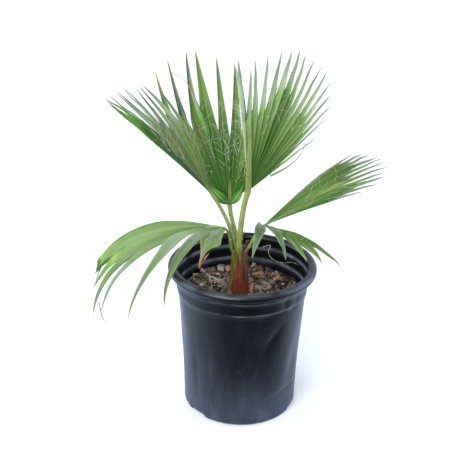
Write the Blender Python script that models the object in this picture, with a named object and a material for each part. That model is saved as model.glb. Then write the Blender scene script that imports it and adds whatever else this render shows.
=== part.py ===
"""Potted Mexican fan palm: a young fan palm in a black nursery pot.

Metres, +Z up. The origin is the middle of the pot's flat underside, and -Y is the front.
The plant's own places are measured from the foot of its trunk, at the soil's surface.
A frond is one thin blade: its leaflets are joined near the hub and cut apart beyond that.
"""
import math

import bmesh
import bpy
from mathutils import Matrix, Vector

DOWN = Vector((0, 0, -1))
UP = Vector((0, 0, 1))

# Clear space between two pieces that touch, the distance within which the points of an
# outline count as one, and the distance within which a turned shape's seam is merged.
GAP = 0.0003
SAME_POINT = 0.0002
SEAM = 0.00001

# Nursery pot: a thin turned wall with two shoulders under a rolled rim.
POT_SIDES = 40
POT_HEIGHT = 0.311
BASE_RADIUS = 0.1135
BASE_CORNER = 0.008
WALL = 0.0025
FLOOR = 0.004
INNER_CORNER_RADIUS = 0.107
BODY_TOP = 0.249
BODY_STEPS = 5
BODY_FLARE = 0.0130
BODY_CURVE = 1.6
SHOULDERS = ((BODY_TOP, 0.259, 0.0034), (0.277, 0.285, 0.0030))
NECK_TOP = 0.2935
RIM_ROLL = 0.009
RIM_RADIUS = 0.1466
# The stretches of these two rounds: first and last angle in degrees, and steps.
CORNER_ARC = (-90, 0, 3)
RIM_ARC = (-75, 180, 8)
DRAIN_ANGLES = (101, 221, 341)
DRAIN_WIDTH = 0.044
DRAIN_HEIGHT = 0.010
DRAIN_DEPTH = 0.010

# Potting mix, and the foot of the trunk on it.
SOIL_LEVEL = 0.244
FOOT = Vector((-0.0055, 0, SOIL_LEVEL))

# Trunk: (height above the soil, radius), with a root flare at its foot and a slight lean.
TRUNK_SIDES = 14
TRUNK_RADII = ((0, 0.0200), (0.006, 0.0186), (0.018, 0.0174), (0.040, 0.0162),
               (0.066, 0.0146), (0.090, 0.0131), (0.106, 0.0122))
TRUNK_LEAN = Vector((-0.012, 0.004, 1))
TRUNK_OVAL = 0.94

# Petioles: each starts at this height on the trunk's axis and runs on a curve whose
# handles are this share of its reach. A round knob under the blade's hub ends it, with
# sections at these shares of its radius.
PETIOLE_SIDES = 10
PETIOLE_STEPS = 9
PETIOLE_START = 0.090
HANDLE_SHARE = 0.35
CURVE_STEP = 0.01
HUB_RADIUS = 0.0060
KNOB_SHARES = (-0.45, 0.1, 0.55, 0.85)
KNOB_WIDTH = 0.97

# Fronds: the joined blade has points at these shares of the way from the hub to the split,
# and each pleat is this share of its half width deep. The blade's directions at a point
# are measured over these small steps of angle and reach.
BLADE_START = HUB_RADIUS + 0.0005
BLADE_THICKNESS = 0.0034
TIP_THICKNESS = 0.0018
JOINED_SHARES = (0, 0.3, 0.65, 1)
PLEAT = 0.16
STRIP_TAPER = 0.75
DROOP_POWER = 1.4
DROOP_STEPS = 12
ANGLE_STEP = 0.5
REACH_STEP = 0.0005

# A frond's hub is measured from the trunk's foot. azimuth and elevation give its middle
# rib, twist turns it about that rib, and fold lifts its two halves. Angles across the
# blade are degrees from the middle rib, and left and right are its two edges. Lengths
# are those of the leaflets at the left edge, at the longest one and at the right edge,
# and right_fall says whether they shorten late or early on the way to the right edge.
FRONDS = {
    "frond_upright_left": dict(
        hub=(-0.0555, 0, 0.2095), azimuth=160, elevation=52, twist=-12, fold=26,
        left=34.6, right=-20.5, leaflets=13, longest_at=-9, lengths=(0.304, 0.252, 0.202),
        right_fall="late", bends=(10, 10, 10), hangs=False, split=0.58, strip_rows=3),
    "frond_upright_middle": dict(
        hub=(-0.022, 0.045, 0.166), azimuth=91.8, elevation=58.8, twist=6.1, fold=4,
        left=43.9, right=-43.1, leaflets=10, longest_at=18.5, lengths=(0.307, 0.322, 0.205),
        right_fall="late", bends=(8, 8, 8), hangs=False, split=0.47, strip_rows=3),
    "frond_upright_right": dict(
        hub=(0.012, -0.020, 0.227), azimuth=-101, elevation=72, twist=-17.5, fold=60,
        left=70, right=-66, leaflets=30, longest_at=17.5, lengths=(0.152, 0.303, 0.262),
        right_fall="early", bends=(8, 5, 8), hangs=False, split=0.60, strip_rows=3),
    "frond_arching_back": dict(
        hub=(-0.032, -0.015, 0.1475), azimuth=202.5, elevation=0.3, twist=-1.4, fold=4,
        left=-3.5, right=-40.6, leaflets=6, longest_at=-2, lengths=(0.328, 0.328, 0.322),
        right_fall="late", bends=(70, 91, 69), hangs=True, split=0.46, strip_rows=5),
    "frond_arching_front": dict(
        hub=(-0.032, -0.015, 0.1475), azimuth=210.4, elevation=14, twist=-5.3, fold=4,
        left=34.3, right=0.6, leaflets=3, longest_at=0.5, lengths=(0.038, 0.314, 0.314),
        right_fall="late", bends=(108, 112, 112), hangs=True, split=0.42, strip_rows=5),
    "frond_rising": dict(
        hub=(0.043, -0.020, 0.1555), azimuth=-6, elevation=33, twist=8, fold=3,
        left=33, right=-12.5, leaflets=11, longest_at=2, lengths=(0.229, 0.267, 0.193),
        right_fall="late", bends=(11, 13, 7), hangs=True, split=0.60, strip_rows=3),
    "frond_drooping": dict(
        hub=(0.043, -0.020, 0.1555), azimuth=-50, elevation=11.5, twist=-27, fold=6,
        left=23, right=-54, leaflets=5, longest_at=-5, lengths=(0.194, 0.172, 0.223),
        right_fall="late", bends=(38, 36, 57), hangs=True, split=0.36, strip_rows=4),
}

# Petioles: the frond that each one carries, where it leaves the trunk's axis, the
# direction in which it sets out, the slope at which it reaches the hub, its half width
# and half thickness at both ends, and half of the thickness of the knob.
PETIOLES = {
    "petiole_left": dict(
        frond="frond_upright_left", root=(-0.0095, 0.0040), sets_out=(-0.10, 0.00, 1),
        arrives=(178, 56), root_size=(0.0048, 0.0036), neck_size=(0.0042, 0.0028),
        knob=0.0030),
    "petiole_middle": dict(
        frond="frond_upright_middle", root=(-0.0005, 0.0078), sets_out=(-0.16, 0.22, 1),
        arrives=(100, 50), root_size=(0.0048, 0.0036), neck_size=(0.0044, 0.0030),
        knob=0.0030),
    "petiole_right": dict(
        frond="frond_upright_right", root=(-0.0028, -0.0072), sets_out=(0.08, -0.05, 1),
        arrives=(-24, 75), root_size=(0.0060, 0.0042), neck_size=(0.0058, 0.0038),
        knob=0.0030),
    "petiole_low_left": dict(
        frond="frond_arching_back", root=(-0.0118, -0.0044), sets_out=(-0.50, -0.25, 1),
        arrives=(203, 34), root_size=(0.0042, 0.0034), neck_size=(0.0038, 0.0028),
        knob=0.0052),
    "petiole_low_right": dict(
        frond="frond_rising", root=(0.0100, -0.0030), sets_out=(0.75, -0.15, 1),
        arrives=(-20, 46), root_size=(0.0042, 0.0034), neck_size=(0.0036, 0.0026),
        knob=0.0030),
}

# Colour, roughness.
FINISHES = {
    "pot_plastic": ((0.018, 0.022, 0.030), 0.45),
    "bark_mix": ((0.080, 0.055, 0.038), 0.95),
    "trunk_fibre": ((0.170, 0.062, 0.028), 0.85),
    "petiole_green": ((0.300, 0.380, 0.110), 0.50),
    "leaf_green": ((0.085, 0.190, 0.055), 0.50),
}


def clear_scene():
    for thing in list(bpy.data.objects):
        bpy.data.objects.remove(thing, do_unlink=True)


def material(name):
    """A Principled material with the finish of that name."""
    made = bpy.data.materials.get(name)
    if made is None:
        colour, roughness = FINISHES[name]
        made = bpy.data.materials.new(name)
        made.use_nodes = True
        shader = made.node_tree.nodes["Principled BSDF"]
        shader.inputs["Base Color"].default_value = (*colour, 1)
        shader.inputs["Roughness"].default_value = roughness
        shader.inputs["Metallic"].default_value = 0
    return made


def add_object(name, bm, finish, smooth_angle=40):
    """Turn a bmesh into an object whose faces point outwards."""
    bmesh.ops.recalc_face_normals(bm, faces=bm.faces[:])
    mesh = bpy.data.meshes.new(name)
    bm.to_mesh(mesh)
    bm.free()
    mesh.materials.append(material(finish))
    mesh.shade_smooth()
    mesh.set_sharp_from_angle(angle=math.radians(smooth_angle))
    made = bpy.data.objects.new(name, mesh)
    bpy.context.scene.collection.objects.link(made)
    return made


def cut_away(piece, cutter):
    """Cut the piece by the cutter, which stays as a hidden guide."""
    cutter.hide_render = True
    cutter.display_type = "WIRE"
    cut = piece.modifiers.new("clear_of_" + cutter.name, "BOOLEAN")
    cut.operation = "DIFFERENCE"
    cut.solver = "EXACT"
    cut.object = cutter


def turned(outline):
    """Spin an outline of (radius, height) points, with both ends on the axis, round Z."""
    bm = bmesh.new()
    points = [bm.verts.new((radius, 0, height)) for radius, height in outline]
    edges = [bm.edges.new(pair) for pair in zip(points, points[1:])]
    bmesh.ops.spin(bm, geom=points + edges, cent=(0, 0, 0), axis=UP,
                   angle=math.tau, steps=POT_SIDES, use_merge=True)
    bmesh.ops.remove_doubles(bm, verts=bm.verts[:], dist=SEAM)
    return bm


def body_radius(height):
    """Outer radius of the pot's wall below its shoulders."""
    return BASE_RADIUS + BODY_FLARE * (height / BODY_TOP) ** BODY_CURVE


def body_outline():
    """The wall's outer outline from the base corner up to the shoulders."""
    rise = (BODY_TOP - BASE_CORNER) / BODY_STEPS
    heights = [BASE_CORNER + rise * step for step in range(BODY_STEPS + 1)]
    return [(body_radius(height), height) for height in heights]


def shoulder_outline():
    """The wall's outer outline over the two shoulders, up to the neck under the rim."""
    radius = body_radius(BODY_TOP)
    points = []
    for low, high, growth in SHOULDERS:
        points.append((radius, low))
        radius += growth
        points.append((radius, high))
    points.append((radius, NECK_TOP))
    return points


def arc(centre_radius, centre_height, size, first, last, steps):
    """Points on a round stretch of an outline, by angles in degrees."""
    points = []
    for step in range(steps + 1):
        turn = math.radians(first + (last - first) * step / steps)
        points.append((centre_radius + size * math.cos(turn),
                       centre_height + size * math.sin(turn)))
    return points


def without_repeats(outline):
    """The outline with points dropped that lie on the one before them."""
    kept = [outline[0]]
    for point in outline[1:]:
        if math.dist(point, kept[-1]) > SAME_POINT:
            kept.append(point)
    return kept


def make_pot():
    """Floor, wall, shoulders and rolled rim, cut by three drain notches at the base."""
    corner = arc(BASE_RADIUS - BASE_CORNER, BASE_CORNER, BASE_CORNER, *CORNER_ARC)
    wall = body_outline() + shoulder_outline()
    inside = [(radius - WALL, height) for radius, height in reversed(wall)]
    roll = arc(RIM_RADIUS - RIM_ROLL, POT_HEIGHT - RIM_ROLL, RIM_ROLL, *RIM_ARC)
    outline = [(0, 0)] + corner + wall + roll + inside
    outline += [(INNER_CORNER_RADIUS, FLOOR), (0, FLOOR)]
    pot = add_object("pot", turned(without_repeats(outline)), "pot_plastic")

    bm = bmesh.new()
    for angle in DRAIN_ANGLES:
        place = Matrix.Rotation(math.radians(angle), 4, "Z")
        place @= Matrix.Translation((BASE_RADIUS, 0, 0))
        place @= Matrix.Diagonal((2 * DRAIN_DEPTH, DRAIN_WIDTH, 2 * DRAIN_HEIGHT, 1))
        bmesh.ops.create_cube(bm, size=1, matrix=place)
    cut_away(pot, add_object("drain_cutter", bm, "pot_plastic"))


def make_potting_mix():
    """The filling, 0.3 mm clear of the pot's floor and wall, flat where the trunk stands."""
    wall = [(radius - WALL - GAP, height)
            for radius, height in body_outline() if height < SOIL_LEVEL]
    top_radius = body_radius(SOIL_LEVEL) - WALL - GAP
    outline = [(0, FLOOR + GAP), (INNER_CORNER_RADIUS - GAP, FLOOR + GAP)] + wall
    outline += [(top_radius, SOIL_LEVEL), (0, SOIL_LEVEL)]
    add_object("potting_mix", turned(without_repeats(outline)), "bark_mix")


def section(centre, across, through, half_width, half_thickness):
    """The matrix of an oval section: its middle, its two directions and their sizes."""
    across = across.normalized() * half_width
    through = through.normalized() * half_thickness
    onward = across.cross(through).normalized()
    columns = Matrix((across, through, onward)).transposed().to_4x4()
    return Matrix.Translation(centre) @ columns


def limb(sections, sides):
    """A closed limb through oval sections."""
    bm = bmesh.new()
    rings = []
    for number, place in enumerate(sections):
        at_end = number in (0, len(sections) - 1)
        made = bmesh.ops.create_circle(bm, cap_ends=at_end, segments=sides,
                                       radius=1, matrix=place)
        ring = set(made["verts"])
        rings.append([edge for edge in bm.edges if set(edge.verts) <= ring])
    for low, high in zip(rings, rings[1:]):
        bmesh.ops.bridge_loops(bm, edges=low + high)
    return bm


def trunk_axis(height):
    return FOOT + TRUNK_LEAN * height


def trunk_solid(growth):
    """The trunk, or the same shape grown by a clearance."""
    sections = []
    last_height = TRUNK_RADII[-1][0]
    for height, radius in TRUNK_RADII:
        if height == 0:
            height = GAP - growth
        if height == last_height:
            height += growth
        sections.append(section(trunk_axis(height), Vector((1, 0, 0)), Vector((0, 1, 0)),
                                radius + growth, TRUNK_OVAL * radius + growth))
    return limb(sections, TRUNK_SIDES)


def direction(azimuth, elevation):
    heading, rise = math.radians(azimuth), math.radians(elevation)
    level = math.cos(rise)
    return Vector((level * math.cos(heading), level * math.sin(heading), math.sin(rise)))


def blade_axes(frond):
    """The middle rib's direction, the way to the left edge, and the upper face's normal."""
    along = direction(frond["azimuth"], frond["elevation"])
    heading = math.radians(frond["azimuth"])
    level = Vector((-math.sin(heading), math.cos(heading), 0))
    left = Matrix.Rotation(math.radians(frond["twist"]), 3, along) @ level
    return along, left, along.cross(left)


def leaflet_length(frond, angle):
    """Leaflets shorten from the longest one to both edges of the blade."""
    left, longest, right = frond["lengths"]
    peak = frond["longest_at"]
    if angle > peak:
        share = (angle - peak) / (frond["left"] - peak)
        return longest - (longest - left) * share ** 2
    share = (peak - angle) / (peak - frond["right"])
    if frond["right_fall"] == "early":
        return right + (longest - right) * (1 - share) ** 3
    return longest - (longest - right) * share ** 2


def leaflet_bend(frond, angle):
    """How far a leaflet turns from its first direction to its tip, in radians."""
    left, middle, right = frond["bends"]
    if angle > 0:
        bend = middle + (left - middle) * angle / frond["left"]
    else:
        bend = middle + (right - middle) * angle / frond["right"]
    return math.radians(bend)


def on_blade(frond, angle, reach):
    """The point this far from the hub along the rib at this angle, which droops more
    and more towards its tip."""
    along, left, up = blade_axes(frond)
    turn, fold = math.radians(angle), math.radians(frond["fold"])
    out = along * math.cos(turn)
    out += left * math.cos(fold) * math.sin(turn)
    out += up * math.sin(fold) * abs(math.sin(turn))
    pull = DOWN if frond["hangs"] else -up
    sag = (pull - out * pull.dot(out)).normalized()
    share = reach / leaflet_length(frond, angle)
    bend = leaflet_bend(frond, angle)
    moved = Vector((0, 0, 0))
    for step in range(DROOP_STEPS):
        swept = bend * (share * (step + 0.5) / DROOP_STEPS) ** DROOP_POWER
        moved += out * math.cos(swept) + sag * math.sin(swept)
    return FOOT + Vector(frond["hub"]) + moved * (reach / DROOP_STEPS)


def blade_frame(frond, angle, reach):
    """A point of the blade, the way to its left there and its upper face's normal."""
    across = on_blade(frond, angle + ANGLE_STEP, reach)
    across -= on_blade(frond, angle - ANGLE_STEP, reach)
    forward = on_blade(frond, angle, reach + REACH_STEP)
    forward -= on_blade(frond, angle, reach - REACH_STEP)
    return (on_blade(frond, angle, reach), across.normalized(),
            forward.cross(across).normalized())


def make_frond(name):
    """One pleated blade, joined near the hub and cut into leaflets beyond the split."""
    frond = FRONDS[name]
    count, rows = frond["leaflets"], frond["strip_rows"]
    pitch = (frond["left"] - frond["right"]) / count
    bm = bmesh.new()
    offset = bm.verts.layers.float_vector.new("offset")

    def split_reach(angle):
        return frond["split"] * leaflet_length(frond, angle)

    def half_width(angle):
        return split_reach(angle) * math.radians(pitch) / 2

    def vertex(angle, reach, side, lift, thickness):
        """A point to one side of the rib at this angle, lifted off the blade's middle."""
        place, across, normal = blade_frame(frond, angle, reach)
        made = bm.verts.new(place + across * side + normal * lift)
        made[offset] = normal * thickness / 2
        return made

    def column(angle, lift_sign):
        """The joined blade's points from the hub out to the split, at one angle."""
        points = []
        for share in JOINED_SHARES:
            reach = BLADE_START + (split_reach(angle) - BLADE_START) * share
            lift = lift_sign * PLEAT * half_width(angle) * share
            points.append(vertex(angle, reach, 0, lift, BLADE_THICKNESS))
        return points

    edges = [column(frond["right"] + pitch * number, 1) for number in range(count + 1)]
    for number in range(count):
        angle = frond["right"] + pitch * (number + 0.5)
        rib = column(angle, -1)
        for start, end in ((edges[number], rib), (rib, edges[number + 1])):
            for low in range(len(JOINED_SHARES) - 1):
                bm.faces.new((start[low], start[low + 1], end[low + 1], end[low]))
        length = leaflet_length(frond, angle)
        first = split_reach(angle)
        strip = (edges[number][-1], rib[-1], edges[number + 1][-1])
        for row in range(1, rows + 1):
            share = row / (rows + 1)
            reach = first + (length - first) * share
            half = half_width(angle) * (1 - share) ** STRIP_TAPER
            thickness = BLADE_THICKNESS + (TIP_THICKNESS - BLADE_THICKNESS) * share ** 2
            lift = PLEAT * half
            following = tuple(vertex(angle, reach, side, rise, thickness) for side, rise
                              in ((-half, lift), (0, -lift), (half, lift)))
            for here, there in ((0, 1), (1, 2)):
                bm.faces.new((strip[here], following[here], following[there], strip[there]))
            strip = following
        tip = vertex(angle, length, 0, 0, TIP_THICKNESS)
        bm.faces.new((strip[0], tip, strip[1]))
        bm.faces.new((strip[1], tip, strip[2]))

    lower = bm.verts[:]
    raised = bmesh.ops.extrude_face_region(bm, geom=bm.faces[:])["geom"]
    upper = [part for part in raised if isinstance(part, bmesh.types.BMVert)]
    for point in lower:
        point.co -= point[offset]
    for point in upper:
        point.co += point[offset]
    add_object(name, bm, "leaf_green", smooth_angle=25)


def curve_point(handles, share):
    """A point on the cubic curve with these four handles."""
    points = handles
    while len(points) > 1:
        points = [first.lerp(second, share) for first, second in zip(points, points[1:])]
    return points[0]


def make_petiole(name, trunk_cutter):
    """A tapered stalk from inside the fork to a round knob that the blade wraps."""
    petiole = PETIOLES[name]
    frond = FRONDS[petiole["frond"]]
    blade_left = blade_axes(frond)[1]
    hub = FOOT + Vector(frond["hub"])
    root = trunk_axis(PETIOLE_START) + Vector((*petiole["root"], 0))
    reach = (hub - root).length
    handles = [root,
               root + Vector(petiole["sets_out"]).normalized() * reach * HANDLE_SHARE,
               hub - direction(*petiole["arrives"]) * reach * HANDLE_SHARE,
               hub]
    neck = 1 - HUB_RADIUS / reach
    sections = []

    def add_section(place, onward, width, thickness):
        across = blade_left - onward * blade_left.dot(onward)
        sections.append(section(place, across, onward.cross(across), width, thickness))

    for step in range(PETIOLE_STEPS):
        share = neck * step / (PETIOLE_STEPS - 1)
        onward = curve_point(handles, share + CURVE_STEP)
        onward -= curve_point(handles, share - CURVE_STEP)
        sizes = [first + (last - first) * share for first, last
                 in zip(petiole["root_size"], petiole["neck_size"])]
        add_section(curve_point(handles, share), onward.normalized(), *sizes)
    onward = direction(*petiole["arrives"])
    for along in KNOB_SHARES:
        round_off = math.sqrt(1 - along ** 2)
        add_section(hub + onward * HUB_RADIUS * along, onward,
                    KNOB_WIDTH * HUB_RADIUS * round_off, petiole["knob"] * round_off)
    stalk = add_object(name, limb(sections, PETIOLE_SIDES), "petiole_green")
    cut_away(stalk, trunk_cutter)


def build():
    clear_scene()
    make_pot()
    make_potting_mix()
    add_object("trunk", trunk_solid(0), "trunk_fibre")
    trunk_cutter = add_object("trunk_cutter", trunk_solid(GAP), "trunk_fibre")
    for name in PETIOLES:
        make_petiole(name, trunk_cutter)
    for name in FRONDS:
        make_frond(name)


build()
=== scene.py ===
# %% [markdown]
# # A potted fan palm
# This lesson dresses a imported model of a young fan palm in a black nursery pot. The packed
# solids are plain stand-ins with the right size and place. Each cell below makes one piece
# or one finish of the real plant at its true size, and hides the stand-in behind it.

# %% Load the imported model
import math
import random

import bmesh
import bpy
import numpy as np
from mathutils import Matrix, Vector, noise


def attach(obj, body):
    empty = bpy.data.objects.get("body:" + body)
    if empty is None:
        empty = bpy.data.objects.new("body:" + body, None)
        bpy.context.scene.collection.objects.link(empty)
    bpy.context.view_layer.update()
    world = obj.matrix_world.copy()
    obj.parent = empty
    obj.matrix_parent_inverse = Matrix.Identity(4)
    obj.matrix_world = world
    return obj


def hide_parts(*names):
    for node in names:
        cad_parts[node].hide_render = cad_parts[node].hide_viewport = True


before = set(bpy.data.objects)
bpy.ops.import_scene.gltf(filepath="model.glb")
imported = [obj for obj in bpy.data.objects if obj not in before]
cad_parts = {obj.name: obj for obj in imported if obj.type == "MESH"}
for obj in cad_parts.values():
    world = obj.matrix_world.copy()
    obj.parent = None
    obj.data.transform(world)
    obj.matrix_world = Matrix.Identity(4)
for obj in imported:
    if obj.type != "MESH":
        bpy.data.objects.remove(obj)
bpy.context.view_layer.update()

DOWN = np.array((0.0, 0.0, -1.0))
UP = Vector((0, 0, 1))
print("packed nodes:", len(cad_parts))

# %% [markdown]
# ## Camera
# The photo looks down on the pot by about 25 degrees, from a little over two metres away.
# The rim shows as an oval, and its width and height give that angle, so the camera is set
# from those numbers and not by eye. It leans by a degree, as the photo does.

# %% Camera
LOOK_DOWN = math.radians(25.3)
LEAN = math.radians(1.2)
DISTANCE = 2.2
FRAME_PIXELS = 470
FOCAL_PIXELS = 1127
SENSOR = 36
AIM = Vector((-0.016, 0, 0.3696))


def link(name, data):
    """Make an object of this data and put it in the scene."""
    made = bpy.data.objects.new(name, data)
    bpy.context.scene.collection.objects.link(made)
    return made


ahead = Vector((0, math.cos(LOOK_DOWN), -math.sin(LOOK_DOWN)))
level = Vector((1, 0, 0))
above = level.cross(ahead)
side = level * math.cos(LEAN) + above * math.sin(LEAN)
top = above * math.cos(LEAN) - level * math.sin(LEAN)
camera_data = bpy.data.cameras.new("camera")
camera_data.sensor_width = SENSOR
camera_data.lens = FOCAL_PIXELS / FRAME_PIXELS * SENSOR
camera = link("camera", camera_data)
turned = Matrix((side, top, -ahead)).transposed().to_4x4()
camera.matrix_world = Matrix.Translation(AIM - ahead * DISTANCE) @ turned
bpy.context.scene.camera = camera
print("lens in millimetres:", round(camera_data.lens, 1))

# %% [markdown]
# ## Shader maths in Python
# A finish is easier to read as a formula than as a list of links. The first small class
# wraps one output of a node, and each operator on it adds the Math node that does the sum.
# The second one holds a tree of nodes, and its method node adds any other node: the settings
# go in first and the sockets' values after them. Colours go through Mix, never through Math.
# The third one is such a tree with a material round it.

# %% Shader maths
class Wire:
    """One output of a node, ready to stand in a Python expression."""

    def __init__(self, finish, socket):
        self.finish = finish
        self.socket = socket

    def __add__(self, other):
        return self.finish.sum("ADD", self, other)

    def __radd__(self, other):
        return self.finish.sum("ADD", other, self)

    def __sub__(self, other):
        return self.finish.sum("SUBTRACT", self, other)

    def __rsub__(self, other):
        return self.finish.sum("SUBTRACT", other, self)

    def __mul__(self, other):
        return self.finish.sum("MULTIPLY", self, other)

    def __rmul__(self, other):
        return self.finish.sum("MULTIPLY", other, self)

    def __abs__(self):
        return self.finish.sum("ABSOLUTE", self)

    def wave(self):
        return self.finish.sum("SINE", self)

    def between(self, low, high):
        """0 below low, 1 above high and even in between."""
        return self.finish.node("ShaderNodeMapRange", {"clamp": True},
                                {"Value": self, "From Min": low, "From Max": high})


class Nodes:
    """A tree whose nodes are added one call at a time."""

    def __init__(self, tree):
        self.tree = tree

    def put(self, socket, value):
        if isinstance(value, Wire):
            self.tree.links.new(value.socket, socket)
        else:
            socket.default_value = value

    def node(self, kind, settings=None, inputs=None, output=0):
        made = self.tree.nodes.new(kind)
        for key, value in (settings or {}).items():
            setattr(made, key, value)
        for key, value in (inputs or {}).items():
            self.put(made.inputs[key], value)
        return Wire(self, made.outputs[output])

    def place(self, stretch=(1, 1, 1)):
        """Object coordinates in metres, stretched along each axis."""
        where = self.node("ShaderNodeTexCoord", output="Object")
        return self.node("ShaderNodeMapping", {"vector_type": "POINT"},
                         {"Vector": where, "Scale": stretch})

    def along(self, where, axis):
        return self.node("ShaderNodeSeparateXYZ", {}, {0: where}, output=axis)

    def cloud(self, where, scale, detail=3, roughness=0.55):
        """Soft noise between 0 and 1, with features of 1 / scale metres."""
        return self.node("ShaderNodeTexNoise", {},
                         {"Vector": where, "Scale": scale, "Detail": detail,
                          "Roughness": roughness})

    def mix(self, factor, first, second):
        return self.node("ShaderNodeMix", {"data_type": "RGBA"},
                         {0: factor, 6: first, 7: second}, output=2)

    def sum(self, operation, *values):
        return self.node("ShaderNodeMath", {"operation": operation}, dict(enumerate(values)))

    def shade(self, colour, level):
        """Make a colour darker or lighter by a level that is 1 where it stays as it is."""
        return self.node("ShaderNodeMix", {"data_type": "RGBA", "blend_type": "MULTIPLY"},
                         {0: 1.0, 6: colour, 7: level}, output=2)

    def relief(self, height, distance, strength=1.0):
        """A normal from a height that is worth this distance in metres."""
        return self.node("ShaderNodeBump", {},
                         {"Strength": strength, "Distance": distance, "Height": height})


class Finish(Nodes):
    """The nodes of a Principled material."""

    def __init__(self, name):
        self.material = bpy.data.materials.new(name)
        self.material.use_nodes = True
        super().__init__(self.material.node_tree)
        self.shader = self.tree.nodes["Principled BSDF"]

    def surface(self, values):
        for name, value in values.items():
            self.put(self.shader.inputs[name], value)
        return self.material


def seen(code, lightness=1.0):
    """A colour as a screen shows it, six hexadecimal digits, as the shader wants it."""
    parts = [int(code[at:at + 2], 16) / 255 for at in (0, 2, 4)]
    linear = [part / 12.92 if part <= 0.04045 else ((part + 0.055) / 1.055) ** 2.4
              for part in parts]
    return (*(lightness * part for part in linear), 1)


print("white is", [round(part, 2) for part in seen("ffffff")])

# %% [markdown]
# ## From bmesh to finished piece
# Every piece takes the same last steps: the bmesh becomes a mesh, gets its finishes, is
# shaded smooth with sharp creases kept, rides on the one body and stands for its nodes.

# %% Finished pieces
def mesh_of(name, bm):
    """Turn a bmesh into a mesh and let the bmesh go."""
    mesh = bpy.data.meshes.new(name)
    bm.to_mesh(mesh)
    bm.free()
    return mesh


def paint(verts, finish):
    """Give every face that touches these points the finish of this number."""
    for face in {face for vert in verts for face in vert.link_faces}:
        face.material_index = finish


def add_piece(name, bm, nodes, finishes, crease=40):
    """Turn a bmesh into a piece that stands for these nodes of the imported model."""
    mesh = mesh_of(name, bm)
    for finish in finishes:
        mesh.materials.append(finish)
    mesh.shade_smooth()
    mesh.set_sharp_from_angle(angle=math.radians(crease))
    piece = link(name, mesh)
    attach(piece, "root")
    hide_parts(*nodes)
    print(name, "faces:", len(mesh.polygons))
    return piece


# %% [markdown]
# ## Light and floor
# The plant stands on white paper in a soft light. Above the horizon the sky is even and
# pale. What lies below it is seen by reflections alone, because the floor is hidden from
# them: it is bright at the sides and dim towards the camera, so the front of the glossy pot
# stays dark and its flanks turn blue-grey. A wide
# sun over the camera's left shoulder shapes the leaves, and two big soft lamps at the sides
# put the blue-grey sheen on the flanks of the pot. The standard view transform keeps white
# paper white.

# %% Light
bpy.context.scene.view_settings.view_transform = "Standard"
SKY_COLOUR = (0.95, 0.97, 1.0, 1)
SKY_STRENGTH = 0.76
GLOW_COLOUR = (0.66, 0.80, 1.05, 1)
GLOW_STRENGTH = 1.25
DIM_SHARE = 0.92
LEFT_GLOW = 0.16
HORIZON_BLUR = 0.02
DIM_FROM, DIM_TO = -0.05, 0.95
SIDE_COLOUR = (0.62, 0.76, 1.0)

world = bpy.data.worlds.new("white_sky")
world.use_nodes = True
background = world.node_tree.nodes["Background"]
sky = Nodes(world.node_tree)
where = sky.node("ShaderNodeTexCoord", output="Generated")
rise = sky.along(where, "Z")
above = rise.between(-HORIZON_BLUR, HORIZON_BLUR)
to_camera = (sky.along(where, "Y") * -0.90 + rise * -0.43
             + sky.along(where, "X") * LEFT_GLOW)
glow = GLOW_STRENGTH * (1 - to_camera.between(DIM_FROM, DIM_TO) * DIM_SHARE)
sky.put(background.inputs["Color"], sky.mix(above, GLOW_COLOUR, SKY_COLOUR))
sky.put(background.inputs["Strength"], above * SKY_STRENGTH + (1 - above) * glow)
bpy.context.scene.world = world


def add_lamp(name, kind, place, power, colour, settings):
    """A soft lamp at this place that shines at the middle of the plant."""
    lamp = bpy.data.lights.new(name, kind)
    lamp.energy = power
    lamp.color = colour
    for key, value in settings.items():
        setattr(lamp, key, value)
    facing = (Vector(place) - AIM).to_track_quat("Z", "Y").to_matrix().to_4x4()
    link(name, lamp).matrix_world = Matrix.Translation(place) @ facing


add_lamp("front_sun", "SUN", (-1.0, -1.9, 1.35), 2.7, (0.98, 0.985, 0.98), {"angle": 0.75})
add_lamp("left_side", "AREA", (-1.9, 0.2, 0.7), 46, SIDE_COLOUR, {"size": 2.0})
add_lamp("right_side", "AREA", (1.9, 0.2, 0.7), 42, SIDE_COLOUR, {"size": 2.0})

# %% [markdown]
# ## Floor
# A wide pale sheet takes the soft shadow. It is staging, and no part of the plant, and
# reflections do not see it, so that the pot does not mirror white paper.

# %% Floor
FLOOR_HALF = 8.0

paper = Finish("floor_paper")
where = paper.place()
grain = paper.cloud(where, 40)
paper.surface({"Base Color": paper.mix(grain, seen("f8f8f8"), seen("fdfdfd")),
               "Roughness": 0.9, "Specular IOR Level": 0.1})
bm = bmesh.new()
bmesh.ops.create_grid(bm, x_segments=4, y_segments=4, size=FLOOR_HALF)
floor = link("floor", mesh_of("floor", bm))
floor.data.materials.append(paper.material)
floor.visible_glossy = False
print("floor is", 2 * FLOOR_HALF, "m wide")

# %% [markdown]
# ## Pot outline
# The pot is blow-moulded from thin black polyethylene: a slightly flared wall, two small
# shoulders, a neck and a fat rolled rim. One outline spun round the axis gives all of it.
# The outline is cut into short runs and its corners are averaged, which rounds them as the
# mould does.

# %% Pot outline
POT_STEPS = 144
POT_HEIGHT = 0.311
BASE_RADIUS = 0.1135
BASE_CORNER = 0.008
WALL = 0.0025
POT_FLOOR = 0.004
BODY_TOP = 0.249
BODY_FLARE = 0.0130
BODY_CURVE = 1.6
SHOULDERS = ((BODY_TOP, 0.259, 0.0034), (0.277, 0.285, 0.0030))
NECK_TOP = 0.2935
RIM_ROLL = 0.009
RIM_RADIUS = 0.1466
RUN = 0.0026


def body_radius(height):
    return BASE_RADIUS + BODY_FLARE * (height / BODY_TOP) ** BODY_CURVE


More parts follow.
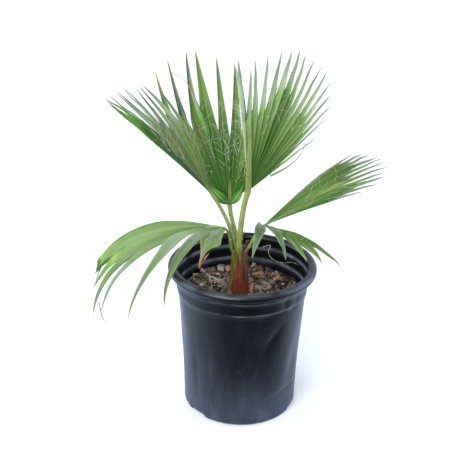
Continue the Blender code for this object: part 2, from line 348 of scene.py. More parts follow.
def arc(centre_radius, centre_height, size, first, last, steps):
    """Points on a round stretch of an outline, by angles in degrees."""
    turns = np.radians(np.linspace(first, last, steps + 1))
    return [(centre_radius + size * math.cos(turn), centre_height + size * math.sin(turn))
            for turn in turns]


def wall_outline():
    """The wall's outer side from the base corner to the neck, in short runs."""
    points = arc(BASE_RADIUS - BASE_CORNER, BASE_CORNER, BASE_CORNER, -90, 0, 6)
    points += [(body_radius(height), height)
               for height in np.arange(BASE_CORNER + RUN, BODY_TOP, RUN)]
    radius = body_radius(BODY_TOP)
    corners = []
    for low, high, growth in SHOULDERS:
        corners += [(radius, low), (radius + growth, high)]
        radius += growth
    corners.append((radius, NECK_TOP))
    for (first, low), (last, high) in zip(corners, corners[1:]):
        shares = np.arange(0, 1, RUN / (high - low))
        points += [(first + (last - first) * share, low + (high - low) * share)
                   for share in shares]
    points.append(corners[-1])
    for _ in range(2):
        middle = [((a[0] + 2 * b[0] + c[0]) / 4, (a[1] + 2 * b[1] + c[1]) / 4)
                  for a, b, c in zip(points, points[1:], points[2:])]
        points = [points[0]] + middle + [points[-1]]
    return points


wall = wall_outline()
roll = arc(RIM_RADIUS - RIM_ROLL, POT_HEIGHT - RIM_ROLL, RIM_ROLL, -75, 180, 18)
inside = [(radius - WALL, height) for radius, height in reversed(wall)
          if height > POT_FLOOR + BASE_CORNER]
pot_outline = [(0, 0), (0.06, 0)] + wall + roll + inside
pot_outline += [(0.107, POT_FLOOR + 0.004), (0.101, POT_FLOOR), (0.05, POT_FLOOR)]
pot_outline += [(0, POT_FLOOR)]
print("outline points:", len(pot_outline))

# %% [markdown]
# ## Pot dents
# A full pot that has been carried about is no longer round. It has an upright crease under
# the rim, a slanting one on its right flank, a long fold above the foot, and soft hollows.
# Each dent is a place on the wall with a direction, a length, a width and a depth, and the
# spun wall is pushed in by the sum of them, inside and outside alike.

# %% Pot dents
# Each dent: degrees round the pot (-90 is the front), height, tilt of its long direction in
# degrees, half length, half width, depth, and whether it is a sharp crease.
DENTS = (
    (-50, 0.274, 90, 0.020, 0.0045, 0.0026, True),
    (-36, 0.278, 86, 0.022, 0.0050, 0.0018, True),
    (-59, 0.198, 61, 0.028, 0.0080, 0.0034, True),
    (-64, 0.188, 58, 0.030, 0.0200, 0.0024, False),
    (-44, 0.058, 8, 0.044, 0.0080, 0.0034, True),
    (-44, 0.034, 2, 0.050, 0.0240, 0.0034, False),
    (-28, 0.120, 80, 0.060, 0.0200, 0.0030, False),
    (-60, 0.254, 4, 0.030, 0.0060, 0.0026, False),
    (-70, 0.248, -8, 0.016, 0.0050, 0.0018, True),
    (-38, 0.255, 5, 0.014, 0.0050, 0.0020, False),
    (-123, 0.118, 88, 0.060, 0.0070, 0.0017, True),
    (-138, 0.100, 92, 0.055, 0.0080, 0.0019, True),
    (-130, 0.150, 84, 0.060, 0.0200, 0.0016, False),
    (-100, 0.060, 20, 0.040, 0.0200, 0.0012, False),
    (-168, 0.200, 95, 0.050, 0.0150, 0.0020, False),
    (10, 0.170, 75, 0.055, 0.0200, 0.0026, False),
    (48, 0.120, 100, 0.060, 0.0250, 0.0022, False),
    (75, 0.210, 60, 0.030, 0.0060, 0.0020, True),
    (120, 0.080, 85, 0.050, 0.0240, 0.0024, False),
    (150, 0.180, 110, 0.045, 0.0060, 0.0022, True),
)
RIM_CLEAR = 0.298
STIFF_RADIUS = 0.085


def push_in(angle, height):
    """How far the dents push the wall in at this place, in metres."""
    total = 0.0
    for centre, level, tilt, length, width, depth, sharp in DENTS:
        off = math.radians((angle - centre + 180) % 360 - 180) * BASE_RADIUS
        rise = height - level
        slant = math.radians(tilt)
        lengthwise = off * math.cos(slant) + rise * math.sin(slant)
        sideways = abs(rise * math.cos(slant) - off * math.sin(slant)) / width
        if abs(lengthwise) > 3 * length or sideways > 4:
            continue
        fall = math.exp(-1.6 * sideways) if sharp else math.exp(-sideways ** 2)
        total += depth * math.exp(-(lengthwise / length) ** 2) * fall
    return total


def dent(vert):
    """Move one point of a spun wall by the dents and a slight loss of roundness."""
    radius = math.hypot(vert.co.x, vert.co.y)
    height = vert.co.z
    if radius < STIFF_RADIUS:
        return
    angle = math.degrees(math.atan2(vert.co.y, vert.co.x))
    share = min(1, (radius - STIFF_RADIUS) / 0.02)
    low = min(1, height / 0.02)
    high = max(0.1, min(1, (RIM_CLEAR - height) / 0.02))
    oval = 0.0009 * math.cos(math.radians(2 * angle + 30)) * height / POT_HEIGHT
    ripple = 0.0005 * noise.noise(Vector((math.cos(math.radians(angle)) * 2.6,
                                          math.sin(math.radians(angle)) * 2.6, height * 16)))
    moved = 1 + share * (oval + low * (ripple - high * push_in(angle, height))) / radius
    vert.co.x *= moved
    vert.co.y *= moved


def spun(outline, steps, merge):
    """Spin an outline round the axis and dent what comes of it."""
    bm = bmesh.new()
    points = [bm.verts.new((radius, 0, height)) for radius, height in outline]
    edges = [bm.edges.new(pair) for pair in zip(points, points[1:])]
    bmesh.ops.spin(bm, geom=points + edges, cent=(0, 0, 0), axis=UP, angle=math.tau,
                   steps=steps, use_merge=True)
    bmesh.ops.remove_doubles(bm, verts=bm.verts[:], dist=merge)
    bmesh.ops.recalc_face_normals(bm, faces=bm.faces[:])
    for vert in bm.verts:
        dent(vert)
    return bm


bm = spun(pot_outline, POT_STEPS, 0.00002)
print("deepest dent at the front right:", round(push_in(-59, 0.198), 4), "m")

# %% [markdown]
# ## Pot finish
# Old black polyethylene is a satin blue-black. Dust and dried potting water make it greyer
# towards the foot, and scuffs leave fine pale marks. The pale lines along the moulded edges
# are painted highlights, and the grooves between them are painted in shade. Noise drives the
# dust and the roughness, and a faint relief breaks up the reflections. The inside has a finish
# of its own, with wider painted highlights along its edges.

# %% Pot finish
# Heights of the moulded edges along which pale lines are painted as highlights.
HIGHLIGHT_LEVELS = (0.2590, 0.2850, 0.3095)
# Heights between which the wall lies back under the shoulder or rim above it and is painted in
# shade.
GROOVES = ((0.261, 0.283), (0.286, 0.306))
GROOVE_ENDS = 0.004
GROOVE_SHADE = 0.65


def pot_finish(name, levels, highlight_width, highlight_share, highlight_code):
    """Black plastic, dusty low down, with painted highlights along its edges as strong as the
    share given, and painted shade in its grooves.
    """
    finish = Finish(name)
    where = finish.place()
    height = finish.along(where, "Z")
    smear = finish.cloud(finish.place((1, 1, 0.35)), 26, 4, 0.6)
    speck = finish.cloud(where, 420, 2, 0.5).between(0.68, 0.76)
    scuff = finish.cloud(finish.place((1, 1, 3.0)), 130, 2, 0.6).between(0.68, 0.80)
    low = 1 - height.between(0.0, 0.20)
    dust = (smear.between(0.42, 0.85) * 0.10 + low * low * smear * 1.30).between(0, 1)
    colour = finish.mix(dust, seen("06080b"), seen("3b4457"))
    colour = finish.mix(speck * (low * 0.5 + 0.04), colour, seen("9aa0ab"))
    colour = finish.mix(scuff * (low * 0.35 + 0.04), colour, seen("5d6575"))
    # Pale lines along the moulded edges, broken up by the smear: painted highlights.
    for level in levels:
        edge = 1 - (abs(height - level) * (1 / highlight_width)).between(0.3, 1)
        colour = finish.mix(edge * smear.between(0.35, 0.70) * highlight_share, colour,
                            seen(highlight_code))
    # The grooves are darkened: painted shade.
    for low_end, high_end in GROOVES:
        groove = (height.between(low_end, low_end + GROOVE_ENDS)
                  * (1 - height.between(high_end - GROOVE_ENDS, high_end)))
        colour = finish.shade(colour, 1 - groove * GROOVE_SHADE)
    roughness = 0.25 + dust * 0.34 + smear * 0.12
    height_map = finish.cloud(where, 60, 3) * 0.7 + finish.cloud(where, 900, 1) * 0.08
    return finish.surface({
        "Base Color": colour, "Roughness": roughness, "Specular IOR Level": 0.5,
        "Sheen Weight": 0.02, "Sheen Roughness": 0.30, "Sheen Tint": seen("8fa2cc"),
        "Normal": finish.relief(height_map, 0.0012, 0.5)})


DRAIN_ANGLES = (101, 221, 341)
DRAIN_SIZE = (0.020, 0.044, 0.020)

# The last colour of each finish is the colour of its painted edge highlights.
pot_finishes = [pot_finish("pot_outside", HIGHLIGHT_LEVELS, 0.0026, 0.30, "7c869c"),
                pot_finish("pot_inside", HIGHLIGHT_LEVELS[:2], 0.0052, 0.60, "a3afc4")]
pot = add_piece("nursery_pot", bm, ["pot"], pot_finishes, 50)
cutter_bm = bmesh.new()
for angle in DRAIN_ANGLES:
    place = Matrix.Rotation(math.radians(angle), 4, "Z")
    place @= Matrix.Translation((BASE_RADIUS, 0, 0)) @ Matrix.Diagonal((*DRAIN_SIZE, 1))
    bmesh.ops.create_cube(cutter_bm, size=1, matrix=place)
cutter = link("drain_cutter", mesh_of("drain_cutter", cutter_bm))
cut = pot.modifiers.new("drains", "BOOLEAN")
cut.operation = "DIFFERENCE"
cut.solver = "EXACT"
cut.object = cutter
whole = pot.data
pot.data = bpy.data.meshes.new_from_object(
    pot.evaluated_get(bpy.context.evaluated_depsgraph_get()))
pot.modifiers.clear()
bpy.data.meshes.remove(whole)
bpy.data.objects.remove(cutter)
for face in pot.data.polygons:
    inward = face.normal.x * face.center.x + face.normal.y * face.center.y < 0
    face.material_index = 1 if inward and face.center.z > BASE_CORNER else 0
pot.data.shade_smooth()
pot.data.set_sharp_from_angle(angle=math.radians(50))
print("pot faces after the drains:", len(pot.data.polygons))

# %% [markdown]
# ## Potting mix
# The pot holds composted bark with white mineral grains. A spun disc with a bumpy top gives
# the surface between the pieces, and its straight sides show through the drains. The mix is
# darker towards the right, where shade is painted into its colour.

# %% Potting mix
# How fast the painted shade darkens the mix towards the right.
RIGHT_SHADE_SLOPE = 3.6
SOIL_LEVEL = 0.244
CLEAR = 0.0003
SOIL_RINGS = 34
SOIL_STEPS = 120
FOOT = Vector((-0.0055, 0, SOIL_LEVEL))


def soil_height(x, y):
    """The mix's surface, which is heaped a little round the trunk."""
    bumps = noise.noise(Vector((x * 45, y * 45, 0.3))) * 0.0034
    bumps += noise.noise(Vector((x * 130, y * 130, 4.7))) * 0.0018
    heap = 0.0035 * math.exp(-((x - FOOT.x) ** 2 + y ** 2) / 0.0016)
    return SOIL_LEVEL + bumps + heap


def right_shade_level(finish):
    """A level that makes the mix darker towards the right: painted shade."""
    return 1.0 - finish.along(finish.place(), "X") * RIGHT_SHADE_SLOPE


def soil_finish():
    finish = Finish("bark_crumbs")
    where = finish.place()
    coarse = finish.cloud(where, 160, 4, 0.65)
    fine = finish.cloud(where, 700, 3, 0.7)
    colour = finish.mix(coarse.between(0.3, 0.7), seen("221b17"), seen("6b5b50"))
    colour = finish.mix(fine.between(0.55, 0.8) * 0.6, colour, seen("9c9085"))
    # Painted shade: darker towards the right.
    colour = finish.shade(colour, right_shade_level(finish))
    return finish.surface({
        "Base Color": colour, "Roughness": 0.95, "Specular IOR Level": 0.2,
        "Normal": finish.relief(coarse * 0.7 + fine * 0.3, 0.004, 0.9)})


side_radius = [(body_radius(height) - WALL - CLEAR, height)
               for height in np.linspace(0.014, SOIL_LEVEL - 0.002, 40)]
top_radii = np.linspace(side_radius[-1][0], 0, SOIL_RINGS)
soil_outline = [(0, POT_FLOOR + CLEAR), (0.1045, POT_FLOOR + CLEAR)] + side_radius
soil_outline += [(radius, SOIL_LEVEL) for radius in top_radii]
bm = spun(soil_outline, SOIL_STEPS, 0.00005)
for vert in bm.verts:
    if vert.co.z > SOIL_LEVEL - 0.001:
        vert.co.z = soil_height(vert.co.x, vert.co.y)
add_piece("mix_surface", bm, ["potting_mix"], [soil_finish()])

# %% [markdown]
# ## Bark and mineral grains
# Loose pieces lie on the mix: flat flakes of bark, round crumbs, and white grains. Each is
# a cube or a small ball whose corners are pulled about by a seeded draw, so it costs a few
# faces. The few large chips that catch the eye have a place of their own.

# %% Loose pieces
CHIPS = 1700
GRAINS = 110
CHIP_COLOURS = ("30271f", "54463b", "77685c", "978b81", "b8ada3", "8f5537", "c08e68")
CHIP_WEIGHTS = (20, 22, 22, 18, 9, 4, 3)
LARGE_CHIPS = (
    # x, y, half sizes, turn, tilt, colour
    (0.0370, 0.0690, (0.0125, 0.0090, 0.0034), 24, 26, 6),
    (0.0300, 0.0780, (0.0070, 0.0060, 0.0030), -40, 24, 5),
    (0.0150, 0.0060, (0.0078, 0.0062, 0.0030), -30, 30, 6),
    (-0.0640, 0.0830, (0.0105, 0.0066, 0.0028), 10, 22, 5),
    (-0.0610, 0.0430, (0.0130, 0.0050, 0.0024), 40, 18, 4),
    (-0.0560, 0.0500, (0.0125, 0.0040, 0.0022), -35, 16, 4),
    (-0.0640, 0.0380, (0.0100, 0.0036, 0.0022), 85, 18, 3),
    (-0.0456, 0.0890, (0.0070, 0.0048, 0.0034), 0, 14, 4),
    (0.0160, 0.0440, (0.0064, 0.0050, 0.0028), 60, 20, 3),
    (-0.0860, 0.0300, (0.0090, 0.0044, 0.0024), 15, 20, 2),
    (-0.0300, 0.0560, (0.0080, 0.0056, 0.0030), 120, 18, 3),
    (0.0120, 0.0860, (0.0070, 0.0056, 0.0030), 15, 22, 2),
    (-0.0400, -0.0700, (0.0110, 0.0070, 0.0026), 70, 12, 3),
    (0.0600, -0.0600, (0.0090, 0.0060, 0.0030), -20, 18, 5),
    (0.0500, 0.0300, (0.0070, 0.0046, 0.0024), 110, 16, 4),
    (0.0640, 0.0420, (0.0066, 0.0044, 0.0024), 30, 18, 3),
)


def chip_finish(name, code):
    """Bark with a grain of its own: dark in the cracks and paler on the ridges."""
    finish = Finish(name)
    grain = finish.cloud(finish.place((1, 1, 2.2)), 420, 4, 0.7)
    colour = finish.mix(grain.between(0.25, 0.75), seen(code, 0.55), seen(code, 1.3))
    # Painted shade: darker towards the right.
    colour = finish.shade(colour, right_shade_level(finish))
    return finish.surface({"Base Color": colour, "Roughness": 0.9,
                           "Specular IOR Level": 0.25,
                           "Normal": finish.relief(grain, 0.0008, 0.8)})


def scatter_place(rng, foot_clear):
    """A place on the mix that is clear of the trunk and the wall."""
    while True:
        x, y = rng.uniform(-0.12, 0.12), rng.uniform(-0.12, 0.12)
        if math.hypot(x, y) < 0.1165 and math.hypot(x - FOOT.x, y) > foot_clear:
            return x, y


def lie(x, y, sink, half, turn, tilt, roll):
    """The matrix of a piece that lies on the mix, part of it sunk in."""
    return (Matrix.Translation((x, y, soil_height(x, y) + sink))
            @ Matrix.Rotation(math.radians(turn), 4, "Z")
            @ Matrix.Rotation(math.radians(tilt), 4, "X")
            @ Matrix.Rotation(math.radians(roll), 4, "Y")
            @ Matrix.Diagonal((*half, 1)))


def rough_piece(bm, rng, shape, place, colour, jitter):
    """A small cube or ball with its corners pulled about."""
    if shape == "flake":
        verts = bmesh.ops.create_cube(bm, size=2)["verts"]
    else:
        verts = bmesh.ops.create_icosphere(bm, subdivisions=1, radius=1)["verts"]
    for vert in verts:
        vert.co += Vector([rng.uniform(-jitter, jitter) for _ in range(3)])
    bmesh.ops.transform(bm, matrix=place, verts=verts)
    paint(verts, colour)


rng = random.Random(11)
bm = bmesh.new()
for x, y, half, turn, tilt, colour in LARGE_CHIPS:
    rough_piece(bm, rng, "flake", lie(x, y, half[2], half, turn, tilt, 8), colour, 0.42)
for _ in range(CHIPS):
    size = 0.0012 + 0.0052 * rng.random() ** 2.0
    x, y = scatter_place(rng, 0.021)
    half = (size * rng.uniform(0.9, 1.5), size * rng.uniform(0.6, 1.0), size * 0.5)
    colour = rng.choices(range(len(CHIP_COLOURS)), CHIP_WEIGHTS)[0]
    place = lie(x, y, size * 0.35, half, rng.uniform(0, 360), rng.uniform(-30, 30),
                rng.uniform(-30, 30))
    rough_piece(bm, rng, rng.choice(("flake", "flake", "ball")), place, colour, 0.34)
bark = [chip_finish(f"bark_{number}", code) for number, code in enumerate(CHIP_COLOURS)]
add_piece("bark_pieces", bm, ["potting_mix"], bark, 20)

bm = bmesh.new()
for _ in range(GRAINS):
    size = rng.uniform(0.0009, 0.0028)
    x, y = scatter_place(rng, 0.024)
    half = (size, size * rng.uniform(0.7, 1.0), size * 0.8)
    place = lie(x, y, size * 0.8, half, rng.uniform(0, 360), 0, 0)
    rough_piece(bm, rng, "ball", place, 0, 0.22)
add_piece("white_grains", bm, ["potting_mix"],
          [chip_finish("mineral_white", "e6e3da")], 20)

# %% [markdown]
# ## Limbs
# Stalks, fibres and threads are all the same shape: oval rings, one after the other, with
# a skin bridged between them. The rings are circles set in place by a matrix.

# %% Limbs
def section(centre, across, through, half_width, half_thickness):
    """The matrix of an oval section: its middle, its two directions and their sizes."""
    across = across.normalized() * half_width
    through = through.normalized() * half_thickness
    onward = across.cross(through).normalized()
    columns = Matrix((across, through, onward)).transposed().to_4x4()
    return Matrix.Translation(centre) @ columns


def limb(bm, places, sides, shape=None):
    """A closed limb through these sections. shape may move the points of each ring."""
    rings = []
    for number, place in enumerate(places):
        at_end = number in (0, len(places) - 1)
        verts = bmesh.ops.create_circle(bm, cap_ends=at_end, segments=sides,
                                        radius=1)["verts"]
        if shape:
            for vert in verts:
                vert.co = shape(vert.co, number / (len(places) - 1))
        bmesh.ops.transform(bm, matrix=place, verts=verts)
        rings.append([edge for edge in {edge for vert in verts for edge in vert.link_edges}
                      if edge.verts[0] in verts and edge.verts[1] in verts])
    skin = []
    for low, high in zip(rings, rings[1:]):
        skin += bmesh.ops.bridge_loops(bm, edges=low + high)["faces"]
    return skin


def strand(bm, path, radius, sides=3, tip=0.4):
    """A thin round strand along a path of points, finer at its tip."""
    places = []
    for number, point in enumerate(path):
        before, after = path[max(0, number - 1)], path[min(len(path) - 1, number + 1)]
        onward = (after - before).normalized()
        across = onward.orthogonal()
        share = number / (len(path) - 1)
        size = radius * (1 - (1 - tip) * share)
        places.append(section(point, across, onward.cross(across), size, size))
    return limb(bm, places, sides)


def trunk_axis(height):
    return FOOT + Vector((-0.012, 0.004, 1)) * height


# %% [markdown]
# ## Trunk
# The trunk of a young fan palm is hardly wood yet. It is a bundle of old leaf bases: dry
# red-brown wedges that wrap the stem and run out in points, one green-brown base that is
# still alive, and the net of fibres that held them together. A ridged core is dressed
# with wedges cut from grids, and with strands that stand off their edges.

# %% Trunk
TRUNK_RADII = ((0, 0.0200), (0.006, 0.0186), (0.018, 0.0174), (0.040, 0.0162),
               (0.066, 0.0146), (0.090, 0.0131), (0.106, 0.0122))
CORE_TOP = 0.098
FLATTER = 0.94


def trunk_radius(height):
    return float(np.interp(height, *zip(*TRUNK_RADII)))


def on_trunk(turn, height, off):
    """A point at this angle in radians and height, so far off the trunk's surface."""
    radius = trunk_radius(height) + off
    return trunk_axis(height) + Vector((radius * math.cos(turn),
                                        FLATTER * radius * math.sin(turn), 0))


def bark_finish(name, dark, light, stretch=(1, 1, 0.12)):
    """Dry fibrous tissue: streaks along the trunk, with pale threads between them."""
    finish = Finish(name)
    streak = finish.cloud(finish.place(stretch), 900, 4, 0.65)
    patch = finish.cloud(finish.place(), 70, 3)
    colour = finish.mix(streak.between(0.3, 0.72), seen(dark), seen(light))
    colour = finish.mix(patch.between(0.5, 0.8) * 0.4, colour, seen(dark, 0.7))
    return finish.surface({"Base Color": colour, "Roughness": 0.62,
                           "Specular IOR Level": 0.4,
                           "Normal": finish.relief(streak, 0.0012, 0.9)})


def ridged(point, share):
    """Upright ridges round the trunk."""
    turn = math.atan2(point.y, point.x)
    ridge = 0.030 * math.sin(11 * turn + 3 * share) + 0.020 * math.sin(23 * turn - 5 * share)
    return Vector(point) * (1 + ridge)


trunk_finishes = [bark_finish("sheath_red", "521809", "93492a"),
                  bark_finish("sheath_brown", "3a1b0c", "7a4f30"),
                  bark_finish("sheath_olive", "504810", "877e2c"),
                  bark_finish("fibre_tan", "714223", "b98d5e")]
bm = bmesh.new()
places = []
for height in np.linspace(0.0003, CORE_TOP, 22):
    dome = math.sqrt(max(0.02, 1 - max(0, height / CORE_TOP - 0.85) / 0.15))
    size = dome * trunk_radius(height)
    places.append(section(trunk_axis(height), Vector((1, 0, 0)), Vector((0, 1, 0)),
                          0.96 * size, 0.90 * size))
for face in limb(bm, places, 64, ridged):
    face.material_index = 1

# Each wedge: degrees round the trunk, foot and point above the soil, half width in
# degrees, how far it stands off, how straight its sides are, and its finish.
WEDGES = (
    (-98, 0.0006, 0.080, 54, 0.0024, 0.90, 0),
    (-168, 0.0006, 0.070, 52, 0.0016, 0.55, 2),
    (-20, 0.0006, 0.050, 52, 0.0012, 0.60, 0),
    (-60, 0.030, 0.100, 48, 0.0006, 0.60, 1),
    (40, 0.0006, 0.082, 64, 0.0010, 0.62, 1),
    (98, 0.0006, 0.070, 66, 0.0016, 0.62, 0),
    (-140, 0.018, 0.104, 46, 0.0012, 0.60, 2),
    (-175, 0.0006, 0.034, 44, 0.0026, 0.70, 3),
    (-12, 0.040, 0.116, 40, 0.0008, 0.60, 1),
    (120, 0.045, 0.112, 60, 0.0008, 0.60, 1),
    (-118, 0.010, 0.096, 26, 0.0018, 0.50, 2),
)
WEDGE_ACROSS = 16
WEDGE_UP = 26
FIBRES = 150


def wedge(bm, number, angle, foot, point, spread, off, straight, finish):
    """A pointed leaf base that wraps the trunk."""
    verts = bmesh.ops.create_grid(bm, x_segments=WEDGE_ACROSS, y_segments=WEDGE_UP,
                                  size=1)["verts"]
    for vert in verts:
        across, up = vert.co.x, (vert.co.y + 1) / 2
        narrowing = max(0.03, (1 - up) ** straight)
        ragged = 0.05 * noise.noise(Vector((up * 9, across, number * 3.1)))
        turn = math.radians(angle + across * spread * (narrowing + ragged))
        ribs = 0.0005 * math.cos(across * 22)
        lip = 0.0014 * abs(across) ** 6
        vert.co = on_trunk(turn, foot + (point - foot) * up,
                           off + ribs + lip - 0.0008 * up)
    paint(verts, finish)


skins = bmesh.new()
for number, values in enumerate(WEDGES):
    wedge(skins, number, *values)
bmesh.ops.recalc_face_normals(skins, faces=skins.faces[:])
bmesh.ops.solidify(skins, geom=skins.faces[:], thickness=0.0007)
skin_mesh = mesh_of("wedges", skins)
bm.from_mesh(skin_mesh)
bpy.data.meshes.remove(skin_mesh)

rng = random.Random(5)
for _ in range(FIBRES):
    turn = math.radians(rng.uniform(0, 360))
    foot = rng.uniform(0.0, 0.090)
    length = rng.uniform(0.012, 0.030)
    lift = rng.uniform(0.0006, 0.0040)
    drift = rng.uniform(-0.3, 0.3)
    path = []
    for step in range(6):
        share = step / 5
        height = min(0.112, foot + length * share)
        path.append(on_trunk(turn + drift * share, height,
                             0.0014 + lift * share ** 2))
    finish = rng.choice((0, 1, 3, 3))
    for face in strand(bm, path, 0.00030):
        face.material_index = finish
add_piece("leaf_bases", bm, ["trunk"], trunk_finishes, 35)

# %% [markdown]
# ## The blade's rule
# A fan palm's blade is pleated leaflets that spread from one hub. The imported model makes
# each blade from a few named sizes: where its hub is, which way its middle rib points, how
# far it twists, folds and droops, and how long its leaflets are from edge to edge. The
# finer blades here follow the same rule with the same numbers, so they keep its outline.

# %% The blade's rule
FRONDS = {
    "frond_upright_left": dict(
        hub=(-0.0555, 0, 0.2095), azimuth=160, elevation=52, twist=-12, fold=26,
        left=34.6, right=-20.5, leaflets=13, longest_at=-9, lengths=(0.304, 0.252, 0.202),
        right_fall="late", bends=(10, 10, 10), hangs=False, split=0.58),
    "frond_upright_middle": dict(
        hub=(-0.022, 0.045, 0.166), azimuth=91.8, elevation=58.8, twist=6.1, fold=4,
        left=43.9, right=-43.1, leaflets=10, longest_at=18.5, lengths=(0.307, 0.322, 0.205),
        right_fall="late", bends=(8, 8, 8), hangs=False, split=0.47),
    "frond_upright_right": dict(
        hub=(0.012, -0.020, 0.227), azimuth=-101, elevation=72, twist=-17.5, fold=60,
        left=70, right=-66, leaflets=30, longest_at=17.5, lengths=(0.152, 0.303, 0.262),
        right_fall="early", bends=(8, 5, 8), hangs=False, split=0.60),
    "frond_arching_back": dict(
        hub=(-0.032, -0.015, 0.1475), azimuth=202.5, elevation=0.3, twist=-1.4, fold=4,
        left=-3.5, right=-40.6, leaflets=6, longest_at=-2, lengths=(0.328, 0.328, 0.322),
        right_fall="late", bends=(70, 91, 69), hangs=True, split=0.46),
    "frond_arching_front": dict(
        hub=(-0.032, -0.015, 0.1475), azimuth=210.4, elevation=14, twist=-5.3, fold=4,
        left=34.3, right=0.6, leaflets=3, longest_at=0.5, lengths=(0.038, 0.314, 0.314),
        right_fall="late", bends=(108, 112, 112), hangs=True, split=0.42),
    "frond_rising": dict(
        hub=(0.043, -0.020, 0.1555), azimuth=-6, elevation=33, twist=8, fold=3,
        left=33, right=-12.5, leaflets=11, longest_at=2, lengths=(0.229, 0.267, 0.193),
        right_fall="late", bends=(11, 13, 7), hangs=True, split=0.60),
    "frond_drooping": dict(
        hub=(0.043, -0.020, 0.1555), azimuth=-50, elevation=11.5, twist=-27, fold=6,
        left=23, right=-54, leaflets=5, longest_at=-5, lengths=(0.194, 0.172, 0.223),
        right_fall="late", bends=(38, 36, 57), hangs=True, split=0.36),
}
DROOP_POWER = 1.4
DROOP_STEPS = 12


def direction(azimuth, elevation):
    heading, rise = math.radians(azimuth), math.radians(elevation)
    flat = math.cos(rise)
    return Vector((flat * math.cos(heading), flat * math.sin(heading), math.sin(rise)))


def blade_axes(frond):
    """The middle rib's direction, the way to the left edge, and the upper face's normal."""
    along = direction(frond["azimuth"], frond["elevation"])
    heading = math.radians(frond["azimuth"])
    level = Vector((-math.sin(heading), math.cos(heading), 0))
    left = Matrix.Rotation(math.radians(frond["twist"]), 3, along) @ level
    return along, left, along.cross(left)


def leaflet_length(frond, angle):
    """Leaflets shorten from the longest one to both edges of the blade."""
    left, longest, right = frond["lengths"]
    peak = frond["longest_at"]
    left_share = (angle - peak) / (frond["left"] - peak)
    right_share = np.clip((peak - angle) / (peak - frond["right"]), 0, 1.2)
    if frond["right_fall"] == "early":
        right_side = right + (longest - right) * (1 - right_share) ** 3
    else:
        right_side = longest - (longest - right) * right_share ** 2
    return np.where(angle > peak, longest - (longest - left) * left_share ** 2, right_side)


def leaflet_bend(frond, angle):
    """How far a leaflet turns from its first direction to its tip, in radians."""
    left, middle, right = frond["bends"]
    towards_left = middle + (left - middle) * angle / frond["left"]
    towards_right = middle + (right - middle) * angle / frond["right"]
    return np.radians(np.where(angle > 0, towards_left, towards_right))


def unit(rows):
    return rows / np.linalg.norm(rows, axis=-1, keepdims=True)


def on_blade(frond, angle, reach):
    """Points at these angles and distances from the hub, as rows of x, y, z."""
    along, left, up = (np.array(axis) for axis in blade_axes(frond))
    turn, fold = np.radians(angle)[:, None], math.radians(frond["fold"])
    out = along * np.cos(turn) + left * (math.cos(fold) * np.sin(turn))
    out = out + up * (math.sin(fold) * np.abs(np.sin(turn)))
    pull = DOWN if frond["hangs"] else -up
    sag = unit(pull - out * (out @ pull)[:, None])
    share = reach / leaflet_length(frond, angle)
    moved = np.zeros_like(out)
    for step in range(DROOP_STEPS):
        swept = (leaflet_bend(frond, angle)
                 * (share * (step + 0.5) / DROOP_STEPS) ** DROOP_POWER)
        moved += out * np.cos(swept)[:, None] + sag * np.sin(swept)[:, None]
    hub = np.array(FOOT) + np.array(frond["hub"])
    return hub + moved * (reach / DROOP_STEPS)[:, None]


def blade_frame(frond, angle, reach):
    """Points of the blade, the way to their left and the upper face's normals."""
    across = on_blade(frond, angle + 0.5, reach) - on_blade(frond, angle - 0.5, reach)
    forward = on_blade(frond, angle, reach + 0.0005) - on_blade(frond, angle, reach - 0.0005)
    return on_blade(frond, angle, reach), unit(across), unit(np.cross(forward, across))


print("leaflets:", sum(frond["leaflets"] for frond in FRONDS.values()))

# %% [markdown]
# ## Leaf finishes
# A leaf is never one green. Near the hub it is deep and fresh, further out it is paler, and
# towards the tips it has a blue-grey bloom, while old tips dry to tan, pink and grey. Each
# of these is a finish of its own, dealt out along every leaflet by its number, so that the
# colours hold without an image. All of them share fine nerves, a pale midrib and a mottle.

# %% Leaf finishes
LEAF_COLOURS = {
    "deep": "3f6a1c", "fresh": "5f8f33", "mid": "769a52", "pale": "93aa68",
    "bloom": "8c9f79", "steel": "6f7f6b", "shade": "3a5f3c", "olive": "7f964a",
    "moss": "68863f", "straw": "8a9c5c", "ash": "7d9271", "fern": "5a7839",
    "sage": "6f8654", "hub": "2f5d08", "pine": "45622a",
    "tan": "b9946c", "rose": "a8705c", "grey": "8d8a7c",
    "brown": "6f4632",
}
RIB = seen("d0dcae")
leaf_finishes = []
leaf_numbers = {}


def leaf_finish(first, second):
    """A leaf's skin that turns from one colour to the next along its band."""
    finish = Finish(f"leaf_{first}_{second}")
    where = finish.node("ShaderNodeUVMap", {"uv_map": "leaf"})
    across = finish.along(where, "X")
    onward = finish.along(where, "Y").between(0, 1)
    leaflet = finish.sum("FLOOR", across)
    off_rib = abs((across - leaflet) * 2 - 1)
    tone = finish.node("ShaderNodeTexWhiteNoise", {"noise_dimensions": "1D"},
                       {"W": leaflet})
    rib = 1 - off_rib.between(0.02, 0.14)
    nerves = (off_rib * 40).wave() * 0.5 + 0.5
    streak = finish.cloud(finish.node("ShaderNodeCombineXYZ", {}, {0: across * 14}), 1, 4)
    mottle = finish.cloud(finish.place(), 55, 4, 0.6)
    level = tone * 0.26 + mottle * 0.36 + streak * 0.40 - nerves * 0.12 + 0.55
    colour = finish.mix(onward, seen(LEAF_COLOURS[first]), seen(LEAF_COLOURS[second]))
    colour = finish.shade(colour, level)
    colour = finish.mix(rib * 0.24, colour, RIB)
    return finish.surface({
        "Base Color": colour, "Roughness": mottle * 0.15 + 0.38,
        "Specular IOR Level": 0.22,
        "Normal": finish.relief(nerves * 0.35 + rib * 0.9, 0.0004, 0.7)})


def leaf_number(first, second):
    """The slot number of a pair of colours, which is made when it is first asked for."""
    if (first, second) not in leaf_numbers:
        leaf_numbers[first, second] = len(leaf_finishes)
        leaf_finishes.append(leaf_finish(first, second))
    return leaf_numbers[first, second]


